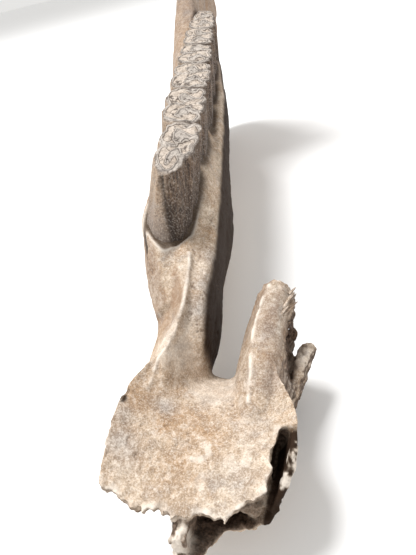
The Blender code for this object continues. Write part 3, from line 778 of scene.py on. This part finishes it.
# Zones of the bone, each the product of its rows: x, y or z in mm, or the share of the normal that points
# up, left, right or forwards, where the zone starts and where it is full
zones = dict(
    crests=[("up", 0.2, 0.5)], socketRims=[("y", 16, 4), ("z", -29, -26)],
    shellRim=[("y", -62, -66), ("x", 14, 11)], wallFront=[("y", -87, -89)],
    bleachedAndPaintedLight=[("up", 0.1, 0.5)], frontTip=[("y", -82, -87)],
    crevice=[("z", -31, -28)], bite=[("x", 22.6, 21.4), ("z", -26.4, -28)],
    brokenFace=[("front", 0.25, 0.7), ("up", 0.55, 0.3)],
    stubCheek=[("up", 0.60, 0.25), ("x", 17, 19.5), ("y", -60, -55), ("left", 0.1, 0.4)],
    pocket=[("y", -59.5, -62.5)], leftWall=[("y", -63, -65)],
    tongueSide=[("left", -0.2, 0.1), ("y", -46, -38), ("x", 6, 2), ("y", 200, 165)],
    cheekSide=[("right", 0.10, 0.60), ("y", -46, -24)], rear=[("y", 90, 180)],
    stub=[("x", 9, 11), ("y", -58, -50), ("z", -41, -36)],
    frontEnd=[("y", -63, -75)], brokenFront=[("y", -86, -88)],
    prong=[("x", 20, 22), ("y", -60, -55)], stubEnd=[("y", -27, -22), ("x", 5, 9)])


def zonesAt(points, normals):
    # Gives each named zone's share at the points
    x, y, z = points.T
    left, back, up = normals.T
    at = dict(x=x, y=y, z=z, left=left, right=-left, front=-back, up=up)
    return lambda name: np.prod([ramp(start, full, at[key]) for key, start, full in zones[name]], 0)


def strongest(points, name, fade):
    # The most that one of the listed places gives: its strength times a fade of the distance in radii
    return np.maximum.reduce([strength * fade(np.linalg.norm(points - spot, axis=1) / radius)
                              for *spot, radius, strength in stainsAndPaintedLight[name]])


def edgeLine(edge, face):
    # Points of a broken edge in space
    place, y = np.array(edge, float).T
    x, z = face(place, y)
    return np.stack([x, y, z], 1)


def plateLine():
    # Edge of the upper plate, narrower on the left, and back along its side
    place, y = np.array(plateEdge + plateSide, float).T
    return edgeLine(np.stack([np.where(place > 0, place * spoon["plateRight"], place), y], 1), upperFace)


def inBall(points, shape, grow):
    # Value under 1 inside a stretched ball
    turned = (points - shape["middle"]) @ spinAbout(shape["turn"]).T
    return np.linalg.norm(turned / (np.array(shape["half"]) + grow), axis=1)


def inPocket(points):
    # Between the upper plate and the lower shell
    middle, wide, rim, dish, under = spoonAt(points[:, 1])
    wall, lip = spoon["wall"], spoon["lip"]
    place = np.clip((points[:, 0] - middle) / wide, -1, 1)
    roof = rim - dish * (1 - np.abs(place) ** spoon["dishPower"]) - wall * 0.45
    x = (points[:, 0] - middle - spoon["lean"] * (points[:, 2] - rim)) / (wide - wall * 0.35)
    z = np.clip((rim - lip - points[:, 2]) / (rim - lip - under - wall * 0.35), 0, 2)
    power = 2 / spoon["shellPower"]
    return ramp(1.06, 0.94, np.abs(x) ** power + z ** power) * ramp(0.0, -0.8, points[:, 2] - roof)


def fromCrests(points):
    # Distance to the two crests as seen from above
    flat = np.array([1, 1, 0.15])
    return np.minimum(*[farFromLine(points * flat, np.array(boneLines[name]) * flat)
                        for name in ("rightCrest", "leftCrest")])


def inOpenings(points, normals):
    # Depth inside an opening on its side of the bone, 0 from its edge on
    y, z = points[:, 1:].T
    share = np.zeros(len(points))
    for side, middleY, middleZ, halfY, halfZ, depth in relief["openings"]:
        away = np.hypot((y - middleY) / halfY, (z - middleZ) / halfZ)
        share = np.maximum(share, depth * ramp(1.15, 0.45, away) * ramp(0.0, 0.4, side * normals[:, 0]))
    return share


def ramusRelief(points, normals):
    # Border raised along the rear edge, ridges that run to it from a hub, less the hollow and the openings
    y, z = points[:, 1:].T
    side = normals[:, 0]
    sideways = ramp(0.3, 0.8, np.abs(side))
    middleY, middleZ, halfY, halfZ, depth = relief["fossa"]
    hollow = depth * bump(np.hypot((y - middleY) / halfY, (z - middleZ) / halfZ), 1.0) * ramp(0.2, 0.7, -side)
    rear = np.array([row[3:6] for row in rightHalf["rows"] if row[4] > 170])
    fromRear = farFromLine(points * (0, 1, 1), rear * (0, 1, 1))
    border = relief["border"] * bump(fromRear, relief["borderWidth"]) * sideways
    hubY, hubZ = relief["hub"]
    spokes = np.column_stack([fromRear * 0.12, np.arctan2(z - hubZ, y - hubY) * 60, np.sign(side) * 20])
    scars = (relief["scar"] * lumps(spokes, relief["scarSize"], 91)
             * bump(fromRear - relief["scarFrom"], relief["scarWidth"]) * sideways)
    return border + scars - hollow - inOpenings(points, normals)


def paleMask(points, zone, fromTooth, edge, shellRim):
    # Worn crests and socket rims, broken edges, the front of the wall, chips, and bleached places that are
    # partly painted light
    x = points[:, 0]
    patchy = layered(points, 3.0, 11, 3) - 0.5 * (x > 5)
    flaked = layered(points, 1.9, 15, 3)
    cloudy = layered(points, 4.0, 25, 3)
    return np.maximum.reduce([
        bump(fromCrests(points), 0.55) * ramp(-1.0, 0.1, patchy) * zone("crests"),
        bump(fromTooth - 0.9, 0.32) * ramp(-1.0, -0.4, lumps(points, 4.0, 12)) * zone("socketRims"),
        0.9 * bump(edge, 1.0) * ramp(-0.8, 0.2, lumps(points, 2.4, 13)) * zone("crests"),
        bump(shellRim, 1.1) * ramp(0.15, 0.5, layered(points, 3.2, 14, 3)) * zone("shellRim"),
        bump(x - septum["x"] + 0.3, 2.6) * ramp(-0.35, 0.10, layered(points * (1.0, 0.5, 0.5), 1.7, 16, 3))
        * zone("wallFront"),
        0.6 * strongest(points, "chips", lambda away: ramp(1.1, 0.5, away + 1.1 * flaked)),
        # pale bone and painted light on the bleached places that face up
        strongest(points, "bleachedAndPaintedLight", lambda away: ramp(1.2, 0.3, away + 0.25 * cloudy)) * zone("bleachedAndPaintedLight")])


def paintedShadeMask(points, zone, edge, notPale):
    # Painted shade in the pocket, the stub's hollow and bite, on the broken face of the plate and on the
    # stub's cheek side, which faces away from the lamp
    dark = np.maximum.reduce([
        inPocket(points) * zone("pocket"), ramp(1.08, 0.92, inBall(points, stubHollow, 0.5)),
        ramp(1.12, 1.0, inBall(points, stubBite, 0.6)) * zone("bite"),
        0.75 * bump(edge, 2.2) * zone("brokenFace"), 0.9 * zone("stubCheek")])
    return dark * notPale


def stainAndShadeMask(points, zone):
    # Darker on the tongue side of the right half, below the edge of the shelf: stain, and painted shade on
    # the side turned from the lamp
    x, y, z = points.T
    lineY, lineX, lineZ = np.array(boneLines["shoulder"], float).T
    past = x - np.interp(y, lineY, lineX) + 0.25 * lumps(points, 3.5, 17)
    below = z - np.interp(y, lineY, lineZ) + 0.25 * lumps(points, 3.5, 18)
    cloudy = ramp(-64.0, -48.0, z + 6.0 * layered(points, 11.0, 19, 4))
    return ramp(-2.3, -0.8, past) * ramp(1.0, -0.8, below) * zone("tongueSide") * cloudy


def boneMasks(points, normals):
    # How strongly each finish shows at each point, 0 to 1
    x, y, z = points.T
    zone = zonesAt(points, normals)
    fromTooth = outsideTeeth(points)
    edge = farFromLine(points, plateLine())
    shellRim = farFromLine(points, edgeLine(shellEdge, lowerFace))
    spongy = np.linalg.norm((points - sponge["middle"]) / (np.array(sponge["half"]) + 0.8), axis=1)
    pale = paleMask(points, zone, fromTooth, edge, shellRim)
    # The thin left wall of the shell is painted dark right to its edge as shade in the slot, but not hollow
    middle, wide = spoonAt(y)[:2]
    leftWall = ramp(0.76, 0.81, (x - middle) / wide) * zone("leftWall")
    dark = paintedShadeMask(points, zone, edge, (1 - pale) * (1 - 0.85 * leftWall))
    # The openings are painted dark inside as shade
    dark = np.maximum(dark, 0.4 * inOpenings(points, normals))
    dark = dark * (1 - 0.35 * ramp(1.2, 0.9, spongy)) * (1 - 0.1 * zone("frontTip"))
    # The painted shade in the crevice round the teeth is wider on their tongue side, where the teeth cast
    # shadow on the shelf
    onTongue = ramp(-27.0, -24.0, x + 0.155 * y)
    masks = dict(pale=pale, dark=dark,
                 crevice=bump(np.clip(fromTooth, 0, 9), 0.7 + 0.8 * onTongue) * zone("crevice"))
    patchy = 0.75 + 0.6 * layered(points, 9.0, 3)
    for name in ("ochre", "grey"):
        masks[name] = np.clip(strongest(points, name, lambda away: bump(away, 0.8)) * patchy, 0, 1)
    streaks = np.clip(0.6 + 0.9 * layered(points * (1.0, 0.3, 1.0), 3.4, 20, 3), 0, 1)
    masks["aged"] = np.maximum.reduce([0.85 * zone("cheekSide"), zone("rear"), zone("stub") * streaks])
    chipped = 0.3 * lumps(points, 1.2, 24)
    nicks = strongest(points, "nicks", lambda away: ramp(1.1, 0.6, away + chipped))
    # Stain, and painted shade: the tongue side, the left wall of the slot and the insides of the nicks
    masks["stainAndShade"] = np.maximum.reduce([stainAndShadeMask(points, zone), leftWall * (1 - pale), nicks])
    pitted = np.clip(1.5 * strongest(points, "pitted", lambda away: bump(away, 1.0)), 0, 1)
    masks["pits"] = pitted * ramp(0.34, 0.16, nearestSpot(points, 1.7, 81) + 0.10 * lumps(points, 0.8, 82))
    masks["rough"] = np.maximum.reduce([
        0.45 * zone("frontEnd"), 1.7 * ramp(1.3, 1.0, spongy), bump(edge, 2.0), bump(shellRim, 2.4),
        dark * 0.8, 1.3 * zone("brokenFront"), zone("prong"), zone("stubEnd")])
    return masks


def displaceBone(item):
    # Each point moves along its normal by the sum of swellings, dents, grit, pits, crests and rims
    points, normals = jawSurface(item.data)
    masks = boneMasks(points, normals)
    size = boneSkin
    push = sum(size[name] * lumps(points, size[name + "Size"], seed)
               for seed, name in enumerate(("swell", "dent", "lump", "grit"), 41))
    drawn = lumps(points * (1.0, 0.16, 0.7), size["grainSize"], 45)
    push -= size["grain"] * ramp(0.72, 0.98, 1 - np.abs(drawn))
    patch = ramp(0.0, 0.6, lumps(points, size["patchSize"], 46)) + masks["rough"]
    spots = nearestSpot(points, size["pitSize"], 47)
    push -= size["pit"] * ramp(0.26, 0.10, spots) * np.clip(patch, 0.15, 1)
    uneven = (0.7 + 0.6 * lumps(points, 2.5, 48)) * np.where(points[:, 0] > 5, 0.5, 1.0)
    push += size["crest"] * bump(fromCrests(points), size["crestWidth"]) * uneven
    push += size["rim"] * bump(outsideTeeth(points) - 1.0, size["rimWidth"]) * ramp(16.0, 4.0, points[:, 1])
    push -= size["crevice"] * masks["crevice"]
    push += size["rough"] * masks["rough"] * (lumps(points, 1.7, 49) * 0.7 + lumps(points, 0.9, 50) * 0.4)
    push -= size["pitted"] * masks["pits"]
    push += size["pale"] * masks["pale"] * (1 - masks["rough"])
    push += ramusRelief(points, normals)
    for *spot, radius, _ in stainsAndPaintedLight["nicks"]:
        push -= size["nick"] * bump(np.linalg.norm(points - spot, axis=1) / radius, size["nickWidth"])
    moved = toFloor(points + normals * push[:, None])
    moved[:, 2] = np.maximum(moved[:, 2], 0.0)
    item.data.vertices.foreach_set("co", moved.ravel())
    item.data.update()


def storeMasks(mesh, masks):
    # One value a point under each mask's name, for the finish
    for name, values in masks.items():
        layer = mesh.attributes.new(name, "FLOAT", "POINT")
        layer.data.foreach_set("value", np.asarray(values, np.float32))


def smoothShaded(mesh, angle=None):
    # Smooth faces, with edges sharper than the angle left sharp
    mesh.polygons.foreach_set("use_smooth", np.ones(len(mesh.polygons), bool))
    if angle:
        mesh.set_sharp_from_angle(angle=np.radians(angle))


# Voxel size in mm and rounds of smoothing of each half, and the joint of bar and symphysis
skins = dict(frontHalf=(0.45, 7), rearHalf=(0.62, 8),
             jointY=(-62, -37), jointLeft=7.5, jointLow=-52, jointRounds=70)


def halfBone(bone, name, behind, keep):
    # The bone behind a plane or in front of it, remeshed, smoothed and given its surface
    half = twin(bone, name)
    space = boxAt("space", (-far, behind, -far), (cuts["midline"], far, far))
    combine(half, [space], "INTERSECT" if keep else "DIFFERENCE")
    voxel, rounds = skins[name]
    modify(half, "REMESH", mode="VOXEL", voxel_size=voxel * 0.001)
    modify(half, "SMOOTH", factor=0.5, iterations=rounds)
    # The joint between bar and symphysis is rounded out further
    x, y, z = toJaw(readRows(half.data.vertices, "co")).T
    low, high = skins["jointY"]
    joint = (y > low) & (y < high) & (x < skins["jointLeft"]) & (z > skins["jointLow"])
    half.vertex_groups.new(name="joint").add(np.flatnonzero(joint).tolist(), 1.0, "REPLACE")
    modify(half, "SMOOTH", factor=0.5, iterations=skins["jointRounds"], vertex_group="joint")
    displaceBone(half)
    return half


# Most triangles of a piece, distance in metres under which points meet, faces of the largest scrap
pieceLimits = dict(triangles=190000, weld=0.000008, scrap=500)


def triangleCount(mesh):
    # Triangles after every face is split
    mesh.calc_loop_triangles()
    return len(mesh.loop_triangles)


def partLabels(corners, count):
    # The lowest point number spreads over the faces until each connected part shares one
    label = np.arange(count)
    while True:
        low = label[corners].min(1)
        spread = label.copy()
        for k in range(3):
            np.minimum.at(spread, corners[:, k], low)
        spread = spread[spread]
        if np.array_equal(spread, label):
            return label
        label = spread


def dropScraps(item):
    # Meeting points welded, then faces folded onto each other and loose scraps taken out
    modify(item, "WELD", merge_threshold=pieceLimits["weld"])
    modify(item, "TRIANGULATE")
    points = readRows(item.data.vertices, "co")
    corners = np.empty(len(item.data.loops), int)
    item.data.loops.foreach_get("vertex_index", corners)
    corners = corners.reshape(-1, 3)
    _, which, times = np.unique(np.sort(corners, 1), axis=0, return_inverse=True, return_counts=True)
    corners = corners[times[which.ravel()] == 1]
    label = partLabels(corners, len(points))[corners[:, 0]]
    _, which, times = np.unique(label, return_inverse=True, return_counts=True)
    corners = corners[times[which.ravel()] > pieceLimits["scrap"]]
    used, corners = np.unique(corners, return_inverse=True)
    mesh = bpy.data.meshes.new(item.name)
    mesh.from_pydata(points[used].tolist(), [], corners.reshape(-1, 3).tolist())
    item.data = mesh


def cutPiece(source, name, boxes, node, finish):
    # Piece of a half between cutting planes, with its finish
    piece = twin(source, name)
    for operation, box in boxes:
        combine(piece, [boxAt("space", *box)], operation)
    triangles = triangleCount(piece.data)
    if triangles > pieceLimits["triangles"]:
        modify(piece, "DECIMATE", ratio=pieceLimits["triangles"] / triangles)
    dropScraps(piece)
    mesh = piece.data
    smoothShaded(mesh, 62)
    storeMasks(mesh, boneMasks(*jawSurface(mesh)))
    mesh.materials.append(finish)
    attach(piece, "root")
    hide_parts(node)
    print(name, triangleCount(mesh), "triangles")


def addSplinters(finish):
    # Rings narrowing to a tip along each sliver, all in one mesh
    points, faces = [], []
    around, along, width = 7, np.array([0.0, 0.3, 0.7, 1.0]), np.array([1.0, 0.95, 0.6, 0.12])
    for number, (x, y, z, dx, dy, dz, length, thick) in enumerate(splinters):
        way = np.array([dx, dy, dz]) / np.linalg.norm([dx, dy, dz])
        side = np.cross(way, (0, 0, 1))
        side /= np.linalg.norm(side)
        angle = np.arange(around) * 2 * np.pi / around + number
        ring = np.cos(angle)[:, None] * side + 0.6 * np.sin(angle)[:, None] * np.cross(side, way)
        rings = (np.array([x, y, z]) + (along * length)[:, None, None] * way
                 + (thick * width)[:, None, None] * ring)
        ringPoints, ringSides = ringMesh(rings)
        faces += [[corner + len(points) for corner in face] for face in ringSides]
        points += ringPoints.tolist()
    piece = addObject("stubSplinters", np.array(points), faces)
    mesh = piece.data
    storeMasks(mesh, boneMasks(*jawSurface(mesh)))
    mesh.materials.append(finish)
    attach(piece, "root")
    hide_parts("left_stub")


def addTooth(number, front, finish):
    # One tooth with its masks, and the length round and up its walls for the fibres
    points, faces, masks, strip = toothMesh(number, front)
    tooth = addObject(f"tooth{number + 1}", points, faces)
    mesh = tooth.data
    storeMasks(mesh, masks)
    layer = mesh.attributes.new("strip", "FLOAT2", "POINT")
    layer.data.foreach_set("vector", strip.astype(np.float32).ravel())
    smoothShaded(mesh)
    mesh.materials.append(finish)
    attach(tooth, "root")
    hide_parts("right_body")


# Finishes
class Nodes:
    # Short names for the nodes of one material, which each give an output
    def __init__(self, name):
        self.material = bpy.data.materials.new(name)
        self.material.use_nodes = True
        self.tree = self.material.node_tree
        self.shader = self.tree.nodes["Principled BSDF"]
        self.coord = self.add("TexCoord", {}, "Object")

    def add(self, kind, inputs, output=0, **settings):
        node = self.tree.nodes.new("ShaderNode" + kind)
        for key, value in settings.items():
            setattr(node, key, value)
        for key, value in inputs.items():
            self.link(value, node.inputs[key])
        return node.outputs[output]

    def link(self, source, target):
        if isinstance(source, (int, float, tuple)):
            target.default_value = source
        else:
            self.tree.links.new(source, target)

    def noise(self, scale, detail, rough, vector=None):
        inputs = dict(Vector=vector or self.coord, Scale=scale, Detail=detail, Roughness=rough)
        return self.add("TexNoise", inputs, "Fac")

    def cells(self, scale):
        return self.add("TexVoronoi", dict(Vector=self.coord, Scale=scale), "Distance")

    def mask(self, name):
        return self.add("Attribute", {}, "Fac", attribute_name=name)

    def span(self, value, low, high, start=0.0, end=1.0):
        inputs = {"Value": value, "From Min": low, "From Max": high, "To Min": start, "To Max": end}
        return self.add("MapRange", inputs, "Result")

    def times(self, a, b):
        return self.add("Math", {0: a, 1: b}, operation="MULTIPLY")

    def mix(self, amount, a, b, kind="MIX"):
        a, b = (tone + (1.0,) if isinstance(tone, tuple) else tone for tone in (a, b))
        return self.add("Mix", dict(Factor=amount, A=a, B=b), "Result", data_type="RGBA", blend_type=kind)

    def bumpy(self, height, strength, distance, **under):
        return self.add("Bump", dict(Strength=strength, Distance=distance, Height=height, **under), "Normal")

    def layers(self, tone, rows, tones, sources):
        # Tones laid over one another, by a source from bare to full or by a mask, each at its strength
        for name, *fade, strength, over in rows:
            if fade:
                amount = self.span(sources[name], *fade, 0.0, strength)
            else:
                amount = self.times(self.mask(name), strength)
            tone = self.mix(amount, tone, tones[over])
        return tone


# The near-black tone is both stain and painted shade; the dark tone is painted shade in the hollows and also
# colours the pits
boneTones = dict(tan=(0.50, 0.37, 0.26), sand=(0.62, 0.50, 0.38), ochre=(0.40, 0.235, 0.115),
                 grey=(0.37, 0.335, 0.31), pale=(0.84, 0.76, 0.67), aged=(0.70, 0.67, 0.67),
                 stainAndShade=(0.024, 0.012, 0.006), dark=(0.13, 0.080, 0.054), speck=(0.22, 0.15, 0.10))
# Scale, detail and roughness of each noise
boneNoises = dict(ground=(85, 5, 0.65), rust=(150, 5, 0.7), ash=(125, 5, 0.7), patch=(330, 4, 0.65),
                  fine=(2300, 3, 0.75), coarse=(900, 4, 0.7), blots=(30, 5, 0.6), washed=(22, 5, 0.6),
                  porous=(90, 3, 0.6))
# A noise, where it is bare and where full, its strength and tone, or a mask, its strength and tone
boneLayers = dict(
    ground=[("rust", 0.50, 0.66, 0.65, "ochre"), ("ash", 0.52, 0.68, 0.65, "grey"), ("ochre", 0.9, "ochre"),
            ("grey", 0.85, "grey"), ("patch", 0.52, 0.40, 0.4, "speck"), ("patch", 0.54, 0.66, 0.4, "pale"),
            ("coarse", 0.50, 0.34, 0.45, "speck"), ("coarse", 0.54, 0.68, 0.45, "pale"),
            ("fine", 0.50, 0.34, 0.55, "speck"), ("fine", 0.50, 0.66, 0.5, "pale")],
    # Pits darkened, edges pale, then stain with painted shade, and painted shade in the crevices round the
    # teeth
    wornAndShaded=[("pits", 0.85, "dark"), ("pale", 0.9, "pale"), ("stainAndShade", 0.99, "stainAndShade"),
          ("crevice", 0.85, "stainAndShade")])


def boneFinish():
    # Tan and sand mottled, stained, worn pale on edges, with painted shade in hollows, crevices, the slot and
    # on the tongue side, painted light on some pale places, and fine specks and pores
    n = Nodes("wornBone")
    t = boneTones
    noises = {name: n.noise(*values) for name, values in boneNoises.items()}
    aged = n.mask("aged")
    tone = n.mix(n.span(noises["ground"], 0.38, 0.62), t["tan"], t["sand"])
    tone = n.layers(tone, boneLayers["ground"], t, noises)
    tone = n.mix(n.times(n.span(noises["blots"], 0.48, 0.62, 0.0, 0.55), aged), tone, t["ochre"])
    tone = n.mix(n.times(n.span(noises["washed"], 0.52, 0.40, 0.0, 0.55), aged), tone, t["grey"])
    tone = n.mix(aged, tone, t["aged"], "MULTIPLY")
    tone = n.layers(tone, boneLayers["wornAndShaded"], t, noises)
    # Painted shade in the pocket, hollows, openings and on the stub's cheek side, from the two darkest tones
    shade = n.mix(n.span(noises["coarse"], 0.42, 0.62), t["stainAndShade"], t["dark"])
    tone = n.mix(n.times(n.mask("dark"), 0.97), tone, shade)
    pores = n.cells(700)
    openPores = n.times(n.span(pores, 0.06, 0.20, 0.8, 0.0), n.span(noises["porous"], 0.50, 0.62))
    n.link(n.mix(openPores, tone, t["speck"]), n.shader.inputs["Base Color"])
    n.link(n.span(noises["fine"], 0.3, 0.7, 0.62, 0.88), n.shader.inputs["Roughness"])
    n.shader.inputs["Specular IOR Level"].default_value = 0.12
    deep = n.bumpy(n.span(pores, 0.05, 0.35), 0.5, 0.0002)
    n.link(n.bumpy(noises["fine"], 0.7, 0.00035, Normal=deep), n.shader.inputs["Normal"])
    return n.material


# The umber tone is the brown of the fibres, and painted shade on the tongue side of the walls
toothTones = dict(enamel=(0.62, 0.56, 0.50), dentine=(0.54, 0.45, 0.37), cement=(0.45, 0.40, 0.355),
                  line=(0.045, 0.030, 0.022), umberAndShade=(0.15, 0.094, 0.060), ochre=(0.34, 0.22, 0.13),
                  black=(0.026, 0.016, 0.011), rib=(0.42, 0.31, 0.22), cheek=(0.42, 0.32, 0.235),
                  lowGrey=(0.185, 0.15, 0.13), grey=(0.27, 0.24, 0.215))
# Noises as above, and the fibres: their noise, and how they are drawn out round and up the walls
toothNoises = dict(fine=(1600, 3, 0.7), mottle=(380, 5, 0.75))
toothFibres = dict(noise=(1.5, 4, 0.7), drawn=(1.0, 0.14, 1.0))
toothLayers = dict(
    top=[("mottle", 0.45, 0.65, 0.6, "enamel"), ("mottle", 0.50, 0.35, 0.45, "line"),
         ("enamel", 0.55, "enamel"), ("border", 0.75, "line"), ("line", 0.95, "line")],
    # Low on the tongue side walls, black is painted shadow where they meet the shelf
    umberAndShade=[("mottle", 0.50, 0.66, 0.4, "rib"), ("low", 0.25, 0.85, 0.75, "black")],
    # On the cheek side the wall turns darker grey towards its foot
    cheek=[("fibres", 0.55, 0.35, 0.5, "umberAndShade"), ("mottle", 0.45, 0.62, 0.5, "ochre"),
           ("mottle", 0.48, 0.36, 0.6, "grey"), ("low", 0.25, 0.80, 0.8, "lowGrey")],
    # The fold down the first tooth's front is painted near black as shade
    side=[("fold", 0.92, "black")],
    whole=[("fine", 0.50, 0.34, 0.55, "line"), ("fine", 0.52, 0.68, 0.35, "enamel")])


def toothFinish():
    # Pale enamel ridges between dentine and cement, dark seams beside them, fibrous brown walls, painted dark
    # as shade on their tongue side
    n = Nodes("wornTooth")
    t = toothTones
    strip = n.add("Attribute", {}, "Vector", attribute_name="strip")
    drawn = n.add("Mapping", dict(Vector=strip, Scale=toothFibres["drawn"]))
    sources = {name: n.noise(*values) for name, values in toothNoises.items()}
    sources.update(fibres=n.noise(*toothFibres["noise"], drawn), low=n.mask("low"))
    grounds = dict(top=n.mix(n.mask("inside"), t["cement"], t["dentine"]), cheek=t["cheek"],
                   umberAndShade=n.mix(n.span(sources["fibres"], 0.38, 0.60), t["black"], t["umberAndShade"]))
    laid = {name: n.layers(ground, toothLayers[name], t, sources) for name, ground in grounds.items()}
    # The tongue side of the walls takes the umber ground as painted shade
    side = n.mix(n.mask("tongueSide"), laid["cheek"], laid["umberAndShade"])
    side = n.layers(side, toothLayers["side"], t, sources)
    tone = n.mix(n.span(n.mask("wall"), 0.3, 0.9), laid["top"], side)
    n.link(n.layers(tone, toothLayers["whole"], t, sources), n.shader.inputs["Base Color"])
    n.link(n.span(n.mask("enamel"), 0.0, 1.0, 0.72, 0.42), n.shader.inputs["Roughness"])
    n.shader.inputs["Specular IOR Level"].default_value = 0.35
    coarse = n.bumpy(sources["fibres"], 0.6, 0.0005)
    n.link(n.bumpy(sources["fine"], 0.6, 0.0003, Normal=coarse), n.shader.inputs["Normal"])
    return n.material


addCamera()
addLight()
addFloor()
print("camera, light and floor set")
bone = wholeBone()
print("bone joined:", len(bone.data.vertices), "points")
bar, ramus = cuts["bar"], cuts["ramus"]
frontHalf = halfBone(bone, "frontHalf", bar + cuts["overlap"], False)
rearHalf = halfBone(bone, "rearHalf", bar - cuts["overlap"], True)
print("skins made:", len(frontHalf.data.vertices), len(rearHalf.data.vertices), "points")
boneLook = boneFinish()
beyondBar = ((-far, bar, -far), (cuts["between"], far, far))
beyondStub = ((cuts["stubFrom"], cuts["stub"][1], -far), (far, far, far), cuts["stubTurn"], cuts["stub"])
bodyBox = ((-far, bar, -far), (far, ramus, far))
ramusBox = ((-far, ramus, -far), (far, far, far))
cutPiece(frontHalf, "symphysisBone", [("DIFFERENCE", beyondBar), ("DIFFERENCE", beyondStub)],
         "symphysis", boneLook)
cutPiece(frontHalf, "stubBone", [("INTERSECT", beyondStub)], "left_stub", boneLook)
cutPiece(rearHalf, "bodyBone", [("INTERSECT", bodyBox)], "right_body", boneLook)
cutPiece(rearHalf, "ramusBone", [("INTERSECT", ramusBox)], "right_ramus", boneLook)
addSplinters(boneLook)
for extra in (bone, frontHalf, rearHalf):
    bpy.data.objects.remove(extra)
toothLook = toothFinish()
for number, front in enumerate(toothFronts()):
    addTooth(number, front, toothLook)
print("teeth added")
